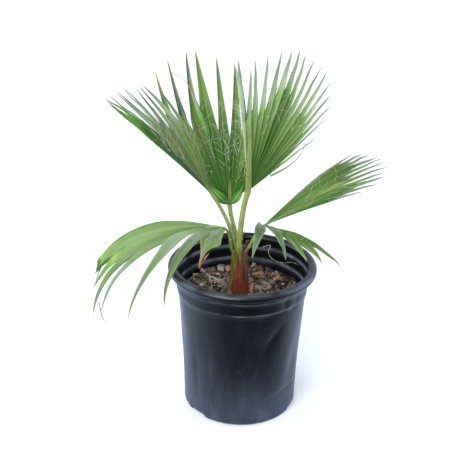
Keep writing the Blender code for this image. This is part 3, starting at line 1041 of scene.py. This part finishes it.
def tint_face(face, uv, tints, along, places, number):
    """Give a face its band's finish, and write where its corners lie in that band."""
    last = len(tints) - 2
    band = min(last, max(0, int(along(face) * (last + 1))))
    face.material_index = leaf_number(tints[band], tints[band + 1])
    for loop in face.loops:
        across, share = places[loop.vert]
        loop[uv].uv = (number + 0.5 + 0.48 * across, share * (last + 1) - band)


print("white rib:", [round(part, 2) for part in RIB])

# %% [markdown]
# ## Leaflets
# One leaflet is a flat grid laid along its rib. Its inner rows stay joined to the leaflets
# beside it, since both put their shared edge at the same angle, and from the split outwards
# it narrows to a point. Across the grid it is pleated like a shallow V. The aims, bows,
# widths and some splits are read off the photo, and colours are dealt out by leaflet where
# own says so. A seeded draw gives the other splits, the twist, the droop and the tips.

# %% Leaflets
ACROSS = 8
JOINED_ROWS = 14
FREE_ROWS = 30
JOINED_SHARE = JOINED_ROWS / (JOINED_ROWS + FREE_ROWS)
BLADE_START = 0.0015
PLEAT = 0.42
LEAF_THICKNESS = 0.0006

# The colours from hub to tip, the colours of dry tips, the greatest twist in degrees, the
# greatest droop and waver as a share of the free length, how early the leaflets taper, the
# share of its length out to which a leaflet goes on widening, and the seed. own gives some
# leaflets colours of their own, counted from the right edge. aims is read off the photo:
# how far a leaflet leans to the left beyond its split, as a share of its free length, and
# its length as a share of the source's. bows are how far a leaflet's middle swings to the
# left and down, as shares of the same free length. broad is a leaflet's own swell. splits
# are the shares of the length at which gaps between leaflets begin, where the photo shows
# them.
SHADED = ("shade", "shade", "deep", "deep", "fresh", "fresh", "moss")
LOOKS = {
    "frond_upright_left": dict(
        tints=("shade", "sage", "moss", "ash", "bloom", "ash", "steel"),
        tips=("steel", "grey", "grey"), twist=20, droop=0.025, taper=0.72, swell=0, seed=1,
        own={0: ("shade", "moss", "moss", "fresh", "mid", "ash", "steel"),
             10: SHADED, 11: SHADED, 12: SHADED},
        aims=((0.03, 0.885), (0.17, 0.935), (0.18, 0.995), (0.05, 0.995), (-0.04, 0.985),
              (0.09, 1.015), (0, 1.01), (0.16, 1.03), (0.09, 1.025), (0.25, 1.06),
              (0.18, 1.055), (0.06, 1.015), (-0.07, 0.975)),
        bows={}, broad={}, splits={}),
    "frond_upright_middle": dict(
        tints=("hub", "hub", "deep", "fern", "moss", "moss", "sage"),
        tips=("ash", "grey", "tan"), twist=20, droop=0.02, taper=0.75, swell=0, seed=2,
        own={3: ("hub", "deep", "moss", "shade", "shade", "steel"),
             7: ("hub", "hub", "moss", "moss", "ash", "steel"),
             8: ("hub", "hub", "moss", "shade", "steel", "steel")},
        aims=((0, 0.98), (0, 0.98), (0, 0.98), (0.28, 0.93), (0.07, 0.965), (0.01, 0.975),
              (-0.05, 1.01), (-0.27, 1.01), (-0.28, 1), (-0.34, 0.975)),
        bows={}, broad={}, splits={5: 0.44, 6: 0.48, 7: 0.62, 8: 0.52, 9: 0.46}),
    "frond_upright_right": dict(
        tints=("hub", "hub", "fern", "mid", "bloom", "bloom", "ash", "steel"),
        tips=("steel", "steel", "grey"), twist=20, droop=0.015, taper=0.72, swell=0.5,
        seed=3,
        # The left half, seen edge-on, is given pale blue-grey colours: partly the leaf's
        # bloom, partly a painted sheen.
        own={number: ("moss", "bloom", "bloom", "ash", "bloom", "ash")
             for number in range(15)},
        aims=((-0.04, 0.975), (-0.18, 0.975), (-0.2, 0.97), (0, 0.93), (0, 0.92),
              (0, 0.91), (0, 0.9), (0, 0.9), (0.1, 0.94), (0.1, 0.95), (0.1, 0.96),
              (0.1, 0.97), (0.1, 0.97), (0.1, 0.97), (0.1, 0.98), (0.04, 0.965),
              (-0.09, 1.01), (-0.08, 1), (-0.04, 0.99), (-0.07, 1), (-0.13, 1.01),
              (-0.16, 1), (-0.14, 1.01), (-0.13, 1.015), (-0.13, 1.035), (-0.13, 1.05),
              (-0.12, 1.045), (-0.1, 1.06), (-0.08, 1.06), (0, 1.01)),
        bows={}, broad={}, splits={8: 0.56, 17: 0.56, 18: 0.58, 19: 0.68, 20: 0.72, 21: 0.70,
                         22: 0.62, 23: 0.60, 24: 0.64, 25: 0.68, 26: 0.68, 27: 0.66,
                         28: 0.60, 29: 0.39}),
    "frond_arching_back": dict(
        tints=("fern", "fern", "sage", "moss", "fern", "fern"),
        tips=("moss", "tan", "grey"), twist=18, droop=0.015, taper=0.66, swell=0, seed=4,
        # Leaflets 0 to 2 turn dark green towards their ends, where the blade folds over:
        # painted shade.
        own={0: ("sage", "moss", "fern", "moss", "deep", "deep", "hub"),
             1: ("sage", "sage", "moss", "olive", "deep", "hub", "deep"),
             2: ("sage", "sage", "fern", "olive", "deep", "deep", "shade"),
             3: ("fern", "fern", "sage", "moss", "olive", "fresh", "moss"),
             4: ("fern", "moss", "sage", "moss", "olive", "ash"),
             5: ("sage", "moss", "sage", "sage", "ash", "ash")},
        aims=((-0.04, 0.955), (-0.18, 0.935), (-0.31, 0.94), (-0.16, 0.955),
              (-0.11, 1.08), (-0.04, 0.98)),
        bows={}, broad={}, splits={1: 0.86, 2: 0.80, 3: 0.60, 4: 0.64, 5: 0.53, 6: 0.32}),
    "frond_arching_front": dict(
        tints=("sage", "sage", "bloom", "ash", "sage", "ash"),
        tips=("rose", "tan"), twist=16, droop=0.015, taper=0.72, swell=0.38, seed=5,
        own={2: ("ash", "bloom", "ash", "ash", "bloom", "ash")},
        aims=((-0.01, 0.99), (0.06, 0.95), (-0.01, 0.965)),
        bows={0: (0.07, 0)}, broad={1: 0.55, 2: 0.50},
        splits={0: 0.36, 1: 0.26, 2: 0.22}),
    "frond_rising": dict(
        tints=("pine", "fern", "pine", "fern", "sage", "steel"),
        tips=("steel", "grey"), twist=22, droop=0.02, taper=0.70, swell=0, seed=6,
        own={0: ("hub", "deep", "hub", "shade", "grey", "grey"),
             1: ("hub", "fern", "deep", "fern", "sage", "grey"),
             4: ("deep", "fern", "olive", "moss", "sage", "steel"),
             7: ("pine", "deep", "pine", "shade", "sage", "steel"),
             10: ("fern", "sage", "steel", "steel", "grey", "grey")},
        aims=((0.01, 1.02), (0.01, 0.995), (0.08, 0.975), (0.03, 0.97), (0, 0.985),
              (0, 0.995), (-0.02, 1.005), (-0.1, 1.005), (-0.08, 1.005), (-0.05, 1),
              (0.01, 1)),
        bows={}, broad={}, splits={1: 0.64, 2: 0.64, 3: 0.72, 8: 0.74, 9: 0.74, 10: 0.76}),
    "frond_drooping": dict(
        tints=("fern", "moss", "fern", "sage", "moss"),
        tips=("bloom", "ash", "straw"), twist=14, droop=0.015, taper=0.85, swell=0.40,
        seed=7,
        own={0: ("bloom", "ash", "bloom", "sage", "bloom"),
             1: ("ash", "bloom", "moss", "ash", "sage")},
        aims=((-0.01, 1.025), (0.01, 1.025), (-0.02, 1.035), (-0.06, 1.02),
              (-0.02, 1.025)),
        bows={0: (0, 0.07)}, broad={0: 0.60},
        splits={0: 0.14, 1: 0.14, 2: 0.56, 3: 0.60, 4: 0.60}),
}
WIDEST = 0.35
TIP_CLOSING = 0.22
DRIFT_CURVE = 1.3
WAVER = 0.0012


def split_reaches(frond, look, rng):
    """Where each gap between two leaflets begins, edges of the blade included."""
    angles = np.linspace(frond["right"], frond["left"], frond["leaflets"] + 1)
    lengths = leaflet_length(frond, angles)
    splits = frond["split"] * lengths * np.array([rng.uniform(0.90, 1.12) for _ in angles])
    for gap, share in look["splits"].items():
        splits[gap] = share * lengths[gap]
    return splits


def leaflet_places(frond, look, number, splits, rng, u, t):
    """The places of one leaflet's grid points, from u across and t along, both 0 to 1."""
    pitch = (frond["left"] - frond["right"]) / frond["leaflets"]
    rib = frond["right"] + pitch * (number + 0.5)
    half_pitch = math.radians(pitch) / 2
    split = splits[number] + (splits[number + 1] - splits[number]) * (u + 1) / 2
    lean, stretch = look["aims"][number]
    length = float(leaflet_length(frond, np.array([rib]))[0]) * stretch
    length = max(length, split.max() * 1.04)
    inner = np.clip(t / JOINED_SHARE, 0, 1)
    outer = np.clip((t - JOINED_SHARE) / (1 - JOINED_SHARE), 0, 1)
    joined = t <= JOINED_SHARE
    reach = np.where(joined, BLADE_START + (split - BLADE_START) * inner,
                     split + (length - split) * outer)
    narrowing = (1 - outer) ** look["taper"]
    wide = look["broad"].get(number, look["swell"])
    swell = np.maximum(wide * length - split, 0) * np.clip(outer / WIDEST, 0, 1)
    half = (split + swell) * half_pitch
    closing = 1 - TIP_CLOSING * outer ** 0.7
    sideways = u * np.where(joined, reach * half_pitch, half * narrowing * closing)
    lift = PLEAT * half * inner * narrowing * (2 - closing) * (2 * np.abs(u) ** 1.15 - 1)

    angle = rib + np.degrees(sideways / reach)
    point, _, normal = blade_frame(frond, angle, reach)
    fan = point + normal * lift[:, None]

    spine, across, normal = blade_frame(frond, np.full_like(u, rib), reach)
    twist = math.radians(look["twist"]) * rng.uniform(-1, 1) * outer ** 1.3
    turned = across * np.cos(twist)[:, None] + normal * np.sin(twist)[:, None]
    raised = normal * np.cos(twist)[:, None] - across * np.sin(twist)[:, None]
    free = length - split.mean()
    bow, sag = look["bows"].get(number, (0, 0))
    arch = (np.sin(math.pi * np.clip(outer, 0, 1)) * free)[:, None]
    waver = (rng.uniform(0.3, 1.0) * WAVER
             * np.sin(outer * rng.uniform(8, 15) + rng.random() * 6))
    droop = look["droop"] * rng.uniform(-0.4, 1.0) * free * outer ** 2
    drift = (lean + look["droop"] * rng.uniform(-0.9, 0.9)) * free * outer ** DRIFT_CURVE
    strip = spine + turned * sideways[:, None] + across * drift[:, None]
    strip += raised * (lift + waver * outer)[:, None]
    strip += (across * bow + np.array(DOWN) * sag) * arch
    strip += droop[:, None] * (DOWN if frond["hangs"] else -normal)
    weight = np.clip(outer / 0.25, 0, 1)[:, None]
    weight = weight * weight * (3 - 2 * weight)
    return fan * (1 - weight) + strip * weight


def add_leaflet(bm, uv, frond, look, number, splits, rng):
    """One leaflet of a frond, with its finishes dealt out along it."""
    verts = bmesh.ops.create_grid(bm, x_segments=ACROSS, y_segments=JOINED_ROWS + FREE_ROWS,
                                  size=1)["verts"]
    u = np.array([vert.co.x for vert in verts])
    t = np.array([(vert.co.y + 1) / 2 for vert in verts])
    tints = look["own"].get(number, look["tints"]) + (rng.choice(look["tips"]),)
    shift = rng.uniform(-0.07, 0.07)
    bands = dict(zip(verts, zip(u, t + shift)))
    for face in {face for vert in verts for face in vert.link_faces}:
        tint_face(face, uv, tints, lambda part: sum(bands[vert][1] for vert in part.verts) / 4,
                  bands, number)
    for vert, place in zip(verts, leaflet_places(frond, look, number, splits, rng, u, t)):
        vert.co = place


def finish_blade(bm, name, nodes):
    """Merge the shared edges, hand the blade over and give it its thickness."""
    bmesh.ops.remove_doubles(bm, verts=bm.verts[:], dist=0.00003)
    bmesh.ops.recalc_face_normals(bm, faces=bm.faces[:])
    piece = add_piece(name, bm, nodes, leaf_finishes, 60)
    thick = piece.modifiers.new("thickness", "SOLIDIFY")
    thick.thickness = LEAF_THICKNESS
    thick.offset = 0


def make_frond(name):
    frond, look = FRONDS[name], LOOKS[name]
    rng = random.Random(look["seed"])
    splits = split_reaches(frond, look, rng)
    bm = bmesh.new()
    uv = bm.loops.layers.uv.new("leaf")
    for number in range(frond["leaflets"]):
        add_leaflet(bm, uv, frond, look, number, splits, rng)
    finish_blade(bm, name.replace("frond", "blade"), [name])
    return splits


all_splits = {name: make_frond(name) for name in FRONDS}

# %% [markdown]
# ## Petioles
# The stalks are stiff, flat on the upper side and armed with small hooked thorns along
# both margins, which are browner than the rest. Each clasps the trunk with a wide base,
# bends outwards to its hub and goes on into the blade as a rib that thins out. On the right
# fan that rib is as stout as the stalk, and it runs nearly to the tips. The low left stalk
# is a fresher green than the others.

# %% Petioles
PETIOLE_START = 0.090
HANDLE = 0.35
# sheath: how high above the soil the stalk's base begins to leave the trunk, and its half
# width there. rib: the blade's angle that it follows, its length, its half width at the hub,
# and how far it stands proud of the blade's lower face. finish: its number in
# petiole_finishes.
PETIOLES = {
    "petiole_left": dict(
        frond="frond_upright_left", root=(-0.0095, 0.0040), sets_out=(-0.10, 0.00, 1),
        arrives=(178, 56), root_size=(0.0048, 0.0036), neck_size=(0.0040, 0.0026),
        sheath=(0.030, 0.0105), rib=(0, 0.070, 0.0036, 0), finish=0),
    "petiole_middle": dict(
        frond="frond_upright_middle", root=(-0.0005, 0.0078), sets_out=(-0.16, 0.22, 1),
        arrives=(100, 50), root_size=(0.0048, 0.0036), neck_size=(0.0042, 0.0028),
        sheath=(0.045, 0.0100), rib=(0, 0.080, 0.0036, 0), finish=0),
    "petiole_right": dict(
        frond="frond_upright_right", root=(-0.0028, -0.0072), sets_out=(0.08, -0.05, 1),
        arrives=(-24, 75), root_size=(0.0060, 0.0042), neck_size=(0.0054, 0.0036),
        sheath=(0.050, 0.0105), rib=(4.5, 0.235, 0.0066, 0.0014), finish=0),
    "petiole_low_left": dict(
        frond="frond_arching_back", root=(-0.0118, -0.0044), sets_out=(-0.50, -0.25, 1),
        arrives=(203, 34), root_size=(0.0042, 0.0034), neck_size=(0.0038, 0.0028),
        sheath=(0.040, 0.0095), rib=(-10, 0.080, 0.0032, 0), finish=3),
    "petiole_low_right": dict(
        frond="frond_rising", root=(0.0100, -0.0030), sets_out=(0.75, -0.15, 1),
        arrives=(-20, 46), root_size=(0.0042, 0.0034), neck_size=(0.0036, 0.0026),
        sheath=(0.056, 0.0085), rib=(0, 0.080, 0.0030, 0), finish=0),
}
SHEATH_SECTIONS = 9
PETIOLE_SECTIONS = 26
RIB_SECTIONS = 30
RIB_STARTS = 0.006
THORN_PITCH = 0.0048


def petiole_finish(name, code, light_code, base_code):
    """Green stalk tissue that turns to the brown of the leaf bases near the trunk."""
    finish = Finish(name)
    where = finish.place()
    streak = finish.cloud(finish.place((1, 1, 0.2)), 500, 3, 0.6)
    patch = finish.cloud(where, 60, 3)
    colour = finish.mix(streak.between(0.3, 0.7), seen(code), seen(light_code))
    colour = finish.mix(patch.between(0.55, 0.85) * 0.35, colour, seen(code, 0.7))
    above = (finish.along(where, "Z") + patch * 0.03).between(0.322, 0.366)
    base = finish.mix(streak.between(0.35, 0.7), seen(base_code, 0.6), seen(base_code))
    return finish.surface({"Base Color": finish.mix(above, base, colour),
                           "Roughness": 0.38 + patch * 0.15,
                           "Specular IOR Level": 0.35,
                           "Normal": finish.relief(streak, 0.0005, 0.5)})


petiole_finishes = [petiole_finish("stalk_green", "667730", "8e9858", "5a501d"),
                    petiole_finish("stalk_margin", "50401e", "7d6d36", "5a3017"),
                    petiole_finish("thorn_pale", "b3a570", "d6cda4", "94713f"),
                    petiole_finish("stalk_fresh", "406f19", "6d9236", "40601a")]


def curve_point(handles, share):
    """A point on the cubic curve with these four handles."""
    points = handles
    while len(points) > 1:
        points = [first.lerp(second, share) for first, second in zip(points, points[1:])]
    return points[0]


def channelled(point, share):
    """A stalk's section: flat to hollow on its upper side and keeled below."""
    hollow = 0.55 * math.exp(-(point.x / 0.5) ** 2) * (1 - share) ** 0.2
    return Vector((point.x, point.y * (1 - hollow if point.y > 0 else 1), 0))


def stalk_handles(petiole, root, hub):
    reach = (hub - root).length
    return [root,
            root + Vector(petiole["sets_out"]).normalized() * reach * HANDLE,
            hub - direction(*petiole["arrives"]) * reach * HANDLE,
            hub]


def stalk_places(petiole):
    """The sections of a stalk, from its clasping base on the trunk to its hub."""
    frond = FRONDS[petiole["frond"]]
    blade_left = blade_axes(frond)[1]
    hub = FOOT + Vector(frond["hub"])
    root = trunk_axis(PETIOLE_START) + Vector((*petiole["root"], 0))
    handles = stalk_handles(petiole, root, hub)
    outward = Vector((*petiole["root"], 0)).normalized()
    wrapping = UP.cross(outward)
    wrapping *= math.copysign(1, wrapping.dot(blade_left))
    turn = math.atan2(outward.y, outward.x)
    start, start_width = petiole["sheath"]
    places = []
    for step in range(SHEATH_SECTIONS):
        share = step / SHEATH_SECTIONS
        height = start + (PETIOLE_START - start) * share
        centre = on_trunk(turn, height, -0.0012).lerp(root, share ** 2)
        width = start_width + (petiole["root_size"][0] * 1.25 - start_width) * share ** 0.8
        places.append(section(centre, wrapping, UP.cross(wrapping) * -1, width,
                              0.0022 + (petiole["root_size"][1] - 0.0022) * share))
    for step in range(PETIOLE_SECTIONS):
        share = step / (PETIOLE_SECTIONS - 1)
        onward = curve_point(handles, share + 0.01) - curve_point(handles, share - 0.01)
        onward.normalize()
        settled = min(1, share / 0.25)
        across = wrapping.lerp(blade_left, settled * settled * (3 - 2 * settled))
        across -= onward * across.dot(onward)
        width, thickness = (first + (last - first) * share for first, last
                            in zip(petiole["root_size"], petiole["neck_size"]))
        clasp = 1 + 0.25 * max(0, 1 - share / 0.2)
        flat = 1 + 0.25 * max(0, share - 0.9) / 0.1
        places.append(section(curve_point(handles, share), across, onward.cross(across),
                              width * clasp * flat, thickness / flat))
    return places


def rib_places(petiole):
    """The sections of the rib that goes on from a stalk into its blade."""
    angle, length, wide, proud = petiole["rib"]
    reaches = np.linspace(RIB_STARTS, length, RIB_SECTIONS)
    spine, across, normal = blade_frame(FRONDS[petiole["frond"]],
                                        np.full(RIB_SECTIONS, angle), reaches)
    places = []
    for number in range(RIB_SECTIONS):
        share = number / (RIB_SECTIONS - 1)
        width = wide * (1 - share) ** 0.8 + 0.0004
        off = Vector(normal[number]) * -proud * (1 - share)
        places.append(section(Vector(spine[number]) + off, Vector(across[number]),
                              Vector(normal[number]), width, 0.36 * width + 0.0006))
    return places


def make_petiole(bm, name, rng):
    petiole = PETIOLES[name]
    places = stalk_places(petiole)
    stalk = places[SHEATH_SECTIONS:]
    places += rib_places(petiole)
    skin = limb(bm, places, 18, channelled)
    inverses = [place.inverted() for place in places]
    for face in skin:
        centre = face.calc_center_median()
        nearest = min(inverses, key=lambda inverse: abs((inverse @ centre).z))
        margin = abs((nearest @ centre).x) > 0.95
        face.material_index = 1 if margin else petiole["finish"]
    reach = (stalk[-1].translation - stalk[0].translation).length
    for step in range(1, int(reach / THORN_PITCH) - 1):
        for edge in (-1, 1):
            share = (step + rng.uniform(-0.3, 0.3)) * THORN_PITCH / reach
            place = stalk[min(len(stalk) - 1, round(share * (len(stalk) - 1)))]
            across = place.col[0].xyz.normalized()
            onward = place.col[2].xyz.normalized()
            size = rng.uniform(0.0016, 0.0034)
            pointing = (across * edge + onward * rng.uniform(-0.5, 0.1)).normalized()
            foot = place @ Vector((0.94 * edge, 0, 0))
            turn = pointing.to_track_quat("Z", "Y").to_matrix().to_4x4()
            thorn = bmesh.ops.create_cone(
                bm, cap_ends=True, segments=5, radius1=0.0009, radius2=0.00008, depth=size,
                matrix=Matrix.Translation(foot + pointing * size * 0.4) @ turn)["verts"]
            paint(thorn, rng.choice((1, 2, 2)))


rng = random.Random(21)
for name in PETIOLES:
    bm = bmesh.new()
    make_petiole(bm, name, rng)
    add_piece(name.replace("petiole", "stalk"), bm, [name],
              petiole_finishes, 35)

# %% [markdown]
# ## Stray blades
# Some leaflets left the order of their fan: a broad folded one hangs beside the trunk with
# a dried tip, a dark fold lies under the arching blade, two short ones close the foot of
# the middle fan, and a few dead ends curl. Each is a pleated strip along its own curve.

# %% Stray blades
# Each strip: its node, the four handles of its curve, the direction across it, its half
# widths in millimetres from start to end, its pleats, its twist in degrees at the end, and
# its colours from start to end.
STRAYS = (
    ("frond_arching_front",
     ((-0.0337, -0.015, 0.3902), (-0.0600, -0.028, 0.3860),
      (-0.0763, -0.042, 0.3700), (-0.0833, -0.046, 0.3192)),
     (-0.0291, 0, 0.0292), (1.5, 10, 19, 24, 21, 12, 5, 2, 0.5), 4, 20,
     ("bloom", "pale", "bloom", "pale", "straw", "tan", "rose")),
    ("frond_arching_front",
     ((-0.0650, -0.040, 0.3490), (-0.0700, -0.048, 0.3455),
      (-0.0770, -0.050, 0.3380), (-0.0828, -0.048, 0.3200)),
     (0.2, 0.4, 1), (0.6, 1.5, 1.8, 1.2, 0.5), 1, 60, ("ash", "tan", "brown", "rose")),
    ("frond_arching_back",
     ((-0.2733, 0.030, 0.3030), (-0.2819, 0.030, 0.2826),
      (-0.2924, 0.028, 0.2608), (-0.2990, 0.026, 0.2343)),
     (1, 0.5, 0.3), (2.0, 1.8, 1.4, 0.8, 0.3), 1, 80, ("shade", "grey", "grey")),
    ("frond_arching_back",
     ((-0.2264, 0.026, 0.3371), (-0.2489, 0.028, 0.3225),
      (-0.2676, 0.030, 0.3055), (-0.2802, 0.030, 0.2873)),
     (0.5, -0.3, 0.8), (1, 5, 7, 6, 3, 1), 2, 20, ("deep", "deep", "fresh", "deep")),
    ("frond_arching_back",
     ((-0.2791, -0.055, 0.2446), (-0.2760, -0.058, 0.2210),
      (-0.2720, -0.060, 0.1960), (-0.2565, -0.060, 0.1963)),
     (1, 0.4, 0.2), (0.9, 0.9, 0.7, 0.4), 1, 160, ("rose", "brown", "brown")),
    ("frond_upright_right",
     ((0.0483, 0.000, 0.4954), (0.0780, 0.012, 0.5060),
      (0.1080, 0.022, 0.5200), (0.1146, 0.028, 0.5533)),
     (-0.3, 0.2, 1), (2.2, 1.8, 1.4, 1.2, 0.6), 1, 120, ("mid", "grey", "brown")),
    ("frond_upright_middle",
     ((-0.0755, 0.110, 0.5371), (-0.0860, 0.122, 0.5639),
      (-0.0976, 0.138, 0.5894), (-0.1087, 0.155, 0.6125)),
     (1, 0.4, 0.3), (4, 5.5, 5.5, 4.5, 3, 2), 1, 20, ("moss", "fresh", "ash", "grey")),
    ("frond_upright_middle",
     ((-0.1087, 0.155, 0.6115), (-0.1194, 0.158, 0.6350),
      (-0.1373, 0.160, 0.6420), (-0.1578, 0.160, 0.6504)),
     (0.5, 1, 0), (1.8, 1.0, 0.6, 0.4), 1, 200, ("grey", "tan", "grey")),
    ("frond_upright_middle",
     ((-0.0291, 0.040, 0.4180), (-0.0429, 0.035, 0.4282),
      (-0.0548, 0.035, 0.4408), (-0.0688, 0.040, 0.4595)),
     (0.6, 0, 1), (2, 8, 10, 8, 4, 1), 3, 10, ("deep", "deep", "fresh", "deep")),
    ("frond_upright_middle",
     ((-0.0271, 0.040, 0.4180), (-0.0155, 0.040, 0.4267),
      (-0.0079, 0.045, 0.4375), (-0.0024, 0.050, 0.4568)),
     (-0.8, 0, 1), (2, 6, 8, 7, 3, 1), 2, 10, ("deep", "fresh", "deep")),
)
STRAY_ROWS = 30
PLEAT_STEPS = 4


def stray_blade(bm, uv, number, handles, across, widths, pleats, twist, tints):
    """A pleated strip of blade along a curve of its own."""
    handles = [Vector(handle) for handle in handles]
    verts = bmesh.ops.create_grid(bm, x_segments=2 * PLEAT_STEPS * pleats,
                                  y_segments=STRAY_ROWS, size=1)["verts"]
    spots = {vert: (vert.co.x, (vert.co.y + 1) / 2) for vert in verts}
    for face in {face for vert in verts for face in vert.link_faces}:
        tint_face(face, uv, tints, lambda part: sum(spots[vert][1] for vert in part.verts) / 4,
                  spots, number)
    stations = np.linspace(0, 1, len(widths))
    for vert, (u, t) in spots.items():
        onward = curve_point(handles, t + 0.01) - curve_point(handles, t - 0.01)
        onward.normalize()
        level = Vector(across)
        level = (level - onward * level.dot(onward)).normalized()
        level = Matrix.Rotation(math.radians(twist) * t * t, 3, onward) @ level
        half = float(np.interp(t, stations, widths)) / 1000
        fold = abs(((u + 1) / 2 * pleats) % 1 * 2 - 1)
        vert.co = (curve_point(handles, t) + level * (u * half)
                   + onward.cross(level) * ((fold - 0.5) * half * 0.6 / pleats))


for number, (node, *values) in enumerate(STRAYS):
    bm = bmesh.new()
    uv = bm.loops.layers.uv.new("leaf")
    stray_blade(bm, uv, number, *values)
    finish_blade(bm, f"stray_blade_{number}", [node])

# %% [markdown]
# ## Threads
# Between the leaflets hang the pale curled threads that give this palm its other name. Each
# starts in a gap between two leaflets and wanders off with a slowly changing turn. Two long
# ones that catch the eye are given point by point.

# %% Threads
THREAD_RADIUS = 0.00028
LONG_RADIUS = 0.00034
# How many threads each frond has, how long they are at the most, in metres, and between
# which shares of the gap's start they are rooted.
THREADS = {
    "frond_upright_left": (50, 0.085, 0.62, 1.08),
    "frond_upright_middle": (90, 0.100, 0.40, 1.08),
    "frond_upright_right": (46, 0.085, 0.70, 1.02),
    "frond_arching_back": (6, 0.050, 0.80, 1.02),
    "frond_arching_front": (3, 0.040, 0.80, 1.02),
    "frond_rising": (22, 0.055, 0.60, 1.02),
    "frond_drooping": (4, 0.045, 0.80, 1.02),
}
# Threads that catch the eye in the photo, as points that the thread runs near.
LONG_THREADS = (
    ((0.0383, -0.040, 0.3642), (0.0550, -0.050, 0.3759), (0.0457, -0.060, 0.3635),
     (0.0577, -0.060, 0.3457), (0.0790, -0.060, 0.3398), (0.0903, -0.060, 0.3443),
     (0.1059, -0.060, 0.3383)),
    ((-0.2810, -0.057, 0.2389), (-0.2840, -0.057, 0.2097), (-0.2908, -0.057, 0.1824),
     (-0.2875, -0.057, 0.1641), (-0.2779, -0.057, 0.1529)),
)


def thread_finish():
    finish = Finish("thread_cream")
    shade = finish.cloud(finish.place(), 90, 2)
    colour = finish.mix(shade.between(0.3, 0.7), seen("b2b094"), seen("e6e2cf"))
    return finish.surface({"Base Color": colour, "Roughness": 0.7,
                           "Specular IOR Level": 0.3})


def wander(rng, start, heading, length, curl):
    """A path that sets out in a heading and turns about a slowly changing axis."""
    steps = max(8, int(length / 0.0045))
    axis = Vector([rng.uniform(-1, 1) for _ in range(3)]).normalized()
    path, point = [start], start
    for _ in range(steps):
        axis = (axis + 0.35 * Vector([rng.uniform(-1, 1) for _ in range(3)])).normalized()
        heading = Matrix.Rotation(curl * rng.uniform(0.2, 1.0), 3, axis) @ heading
        point = point + heading * (length / steps)
        path.append(point)
    return path


def rounded(points, rounds=4):
    """Cut the corners of a path a few times, which rounds it."""
    path = [Vector(point) for point in points]
    for _ in range(rounds):
        cut = [share_point for first, second in zip(path, path[1:])
               for share_point in (first.lerp(second, 0.25), first.lerp(second, 0.75))]
        path = [path[0]] + cut + [path[-1]]
    return path


rng = random.Random(31)
bm = bmesh.new()
for name, (count, longest, nearest, furthest) in THREADS.items():
    frond = FRONDS[name]
    angles = np.linspace(frond["right"], frond["left"], frond["leaflets"] + 1)
    for _ in range(count):
        gap = rng.randrange(1, frond["leaflets"])
        reach = all_splits[name][gap] * rng.uniform(nearest, furthest)
        place, across, normal = blade_frame(frond, angles[gap:gap + 1], np.array([reach]))
        ahead_point = on_blade(frond, angles[gap:gap + 1], np.array([reach + 0.01]))
        onward = Vector(ahead_point[0] - place[0]).normalized()
        facing = -1 if normal[0][1] > 0 else 1
        lifted = Vector(normal[0]) * facing
        heading = (onward * rng.uniform(0.1, 1) + lifted * rng.uniform(0.0, 0.25)
                   + Vector(across[0]) * rng.uniform(-0.6, 0.6)).normalized()
        path = wander(rng, Vector(place[0]) + lifted * 0.003, heading,
                      longest * rng.uniform(0.3, 1.0), rng.uniform(0.05, 0.40))
        strand(bm, path, THREAD_RADIUS * rng.uniform(0.7, 1.2))
for points in LONG_THREADS:
    strand(bm, rounded(points), LONG_RADIUS)
add_piece("curled_threads", bm, list(FRONDS), [thread_finish()], 60)
